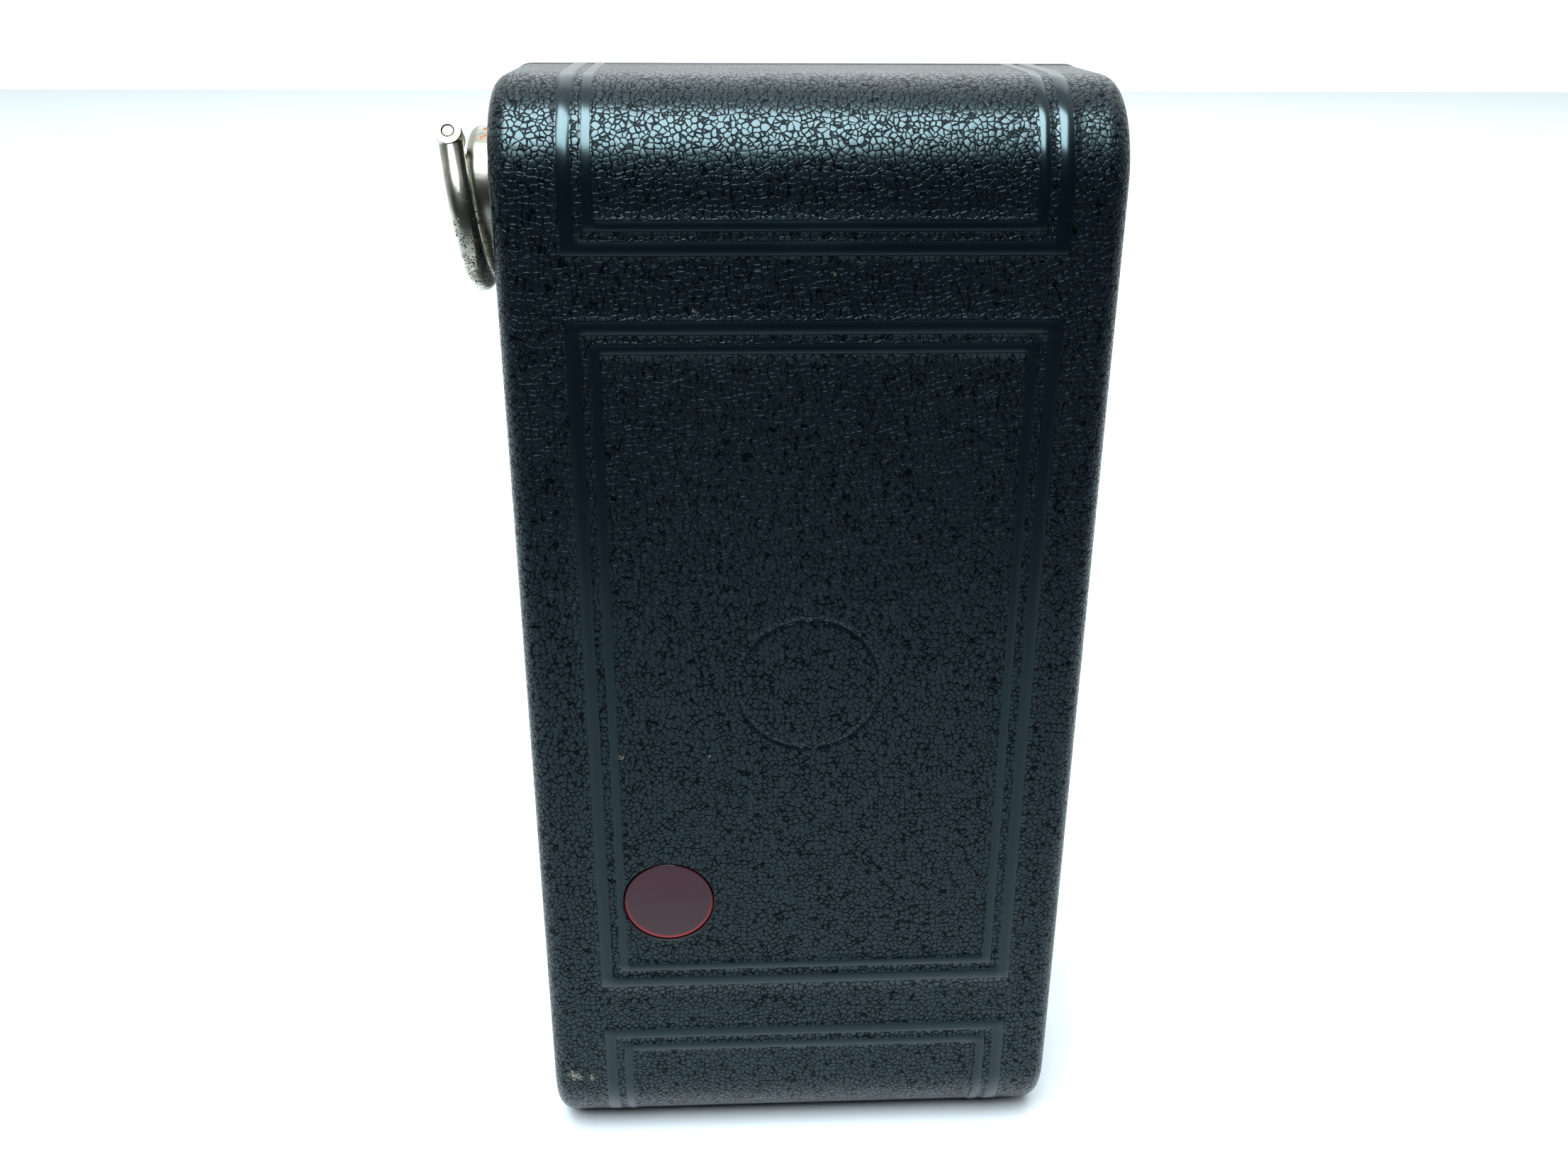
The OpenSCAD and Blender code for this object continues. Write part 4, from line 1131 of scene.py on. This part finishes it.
@dataclass(frozen=True)
class Softbox:
    """A square softbox: where it hangs and the point that it faces, in metres, its side, its watts and its tint."""

    name: str
    place: tuple[float, float, float]
    aim: tuple[float, float, float]
    side: float
    power: float
    tint: str

    def hang(self) -> None:
        """Put the softbox in the scene."""
        data = bpy.data.lights.new(self.name, "AREA")
        data.size = self.side
        data.energy = self.power
        data.color = linear(self.tint)[:3]
        light = bpy.data.objects.new(self.name, data)
        light.location = self.place
        turn = (Vector(self.aim) - Vector(self.place)).to_track_quat("-Z", "Y")
        light.rotation_euler = turn.to_euler()
        bpy.context.scene.collection.objects.link(light)


@dataclass
class Studio:
    """A pale table top, soft light from above, and the view: a little above the object and left of its middle.

    The table top is painted with shade that runs from dark at floor_near, nearest the viewer, to white at floor_far.
    The room is dim on the viewer's side and bright above and beyond the object, by how far a direction agrees with
    bright_side.
    """

    eye: tuple[float, float, float] = (-0.0119, -0.2012, 0.1831)
    forward: tuple[float, float, float] = (0.0422, 0.9160, -0.3989)
    up: tuple[float, float, float] = (0.0129, 0.3987, 0.9170)
    lens: float = 32.55
    floor_side: float = 4.6
    floor_near: float = -0.4
    floor_far: float = 0.3
    # Painted shade: the table top runs from near black nearest the viewer to white beyond the object.
    floor_painted_shade: tuple[tuple[float, str], ...] = (
        (0.0, "#1A1C1D"), (0.186, "#3C4042"), (0.314, "#7F8587"), (0.447, "#94999B"), (0.521, "#AEB4B5"),
        (0.6, "#B8BDBE"), (0.93, "#F6FBFB"))
    bright_side: tuple[float, float, float] = (0.0, 0.88, 0.475)
    room_fade: tuple[float, float] = (-0.3, 0.35)
    room_strength: tuple[float, float] = (0.03, 1.2)
    room_tint: str = "#F0F8FA"
    boxes: tuple[Softbox, ...] = (
        Softbox("overhead", (-0.12, -0.38, 0.88), (0.0, 0.0, 0.16), 0.68, 35.0, "#EEF6FF"),
        Softbox("back_wash", (0.2, 1.5, 1.3), (0.0, 0.3, 0.0), 1.6, 9.0, "#F2FBFF"))

    def make(self) -> None:
        """Build the whole studio."""
        self.make_camera()
        self.make_floor()
        self.make_lights()

    def make_camera(self) -> None:
        """Place the camera and make it the scene's."""
        data = bpy.data.cameras.new("studio_camera")
        data.lens = self.lens
        data.clip_start = 0.01
        camera = bpy.data.objects.new("studio_camera", data)
        bpy.context.scene.collection.objects.link(camera)
        ahead = Vector(self.forward).normalized()
        side = ahead.cross(Vector(self.up)).normalized()
        above = side.cross(ahead)
        turn = Matrix((side, above, -ahead)).transposed()
        camera.matrix_world = Matrix.LocRotScale(Vector(self.eye), turn, None)
        bpy.context.scene.camera = camera

    def make_floor(self) -> None:
        """Lay the table top, white beyond the object and painted with shade towards the viewer."""
        bpy.ops.object.select_all(action="DESELECT")
        bpy.ops.mesh.primitive_plane_add(size=self.floor_side, location=(0, 0, 0))
        floor = bpy.context.active_object
        floor.name = "table_top"
        g = Graph("laminate_with_painted_shade")
        place = g.add("TexCoord").outputs["Object"]
        away = g.add("SeparateXYZ", {0: place}).outputs["Y"]
        run = g.add("MapRange", {"Value": away, "From Min": self.floor_near, "From Max": self.floor_far})
        # Painted shade on the table top, darker towards the viewer.
        colour = g.add("ValToRGB", {"Fac": run}, stops=self.floor_painted_shade)
        wear(floor, g.finish({"Base Color": colour, "Roughness": 0.6, "Specular IOR Level": 0.2}))

    def make_lights(self) -> None:
        """Hang the softboxes and light the room."""
        bpy.context.scene.view_settings.view_transform = "Standard"
        for box in self.boxes:
            box.hang()
        g = Graph("room", room=True)
        direction = g.add("TexCoord").outputs["Generated"]
        facing = g.add("VectorMath", {0: direction, 1: self.bright_side}, operation="DOT_PRODUCT")
        fade = g.add("MapRange", {"Value": facing.outputs["Value"], "From Min": self.room_fade[0],
                     "From Max": self.room_fade[1], "To Min": self.room_strength[0],
                     "To Max": self.room_strength[1]})
        links = {"Color": linear(self.room_tint), "Strength": fade}
        bpy.context.scene.world = g.finish(links, "Background")


def main() -> None:
    """Load the frame and build every sub-assembly in order."""
    logging.basicConfig(level=logging.INFO, format="%(name)s: %(message)s")
    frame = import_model()
    Studio().make()
    bench = Bench(frame, Finishes())
    for assembly in (BackCover(), WindingKey(), Case(), BedDoor(), LensPanel()):
        assembly.make(bench)
        LOG.info("%s is done", type(assembly).__name__)


if __name__ == "__main__":
    main()
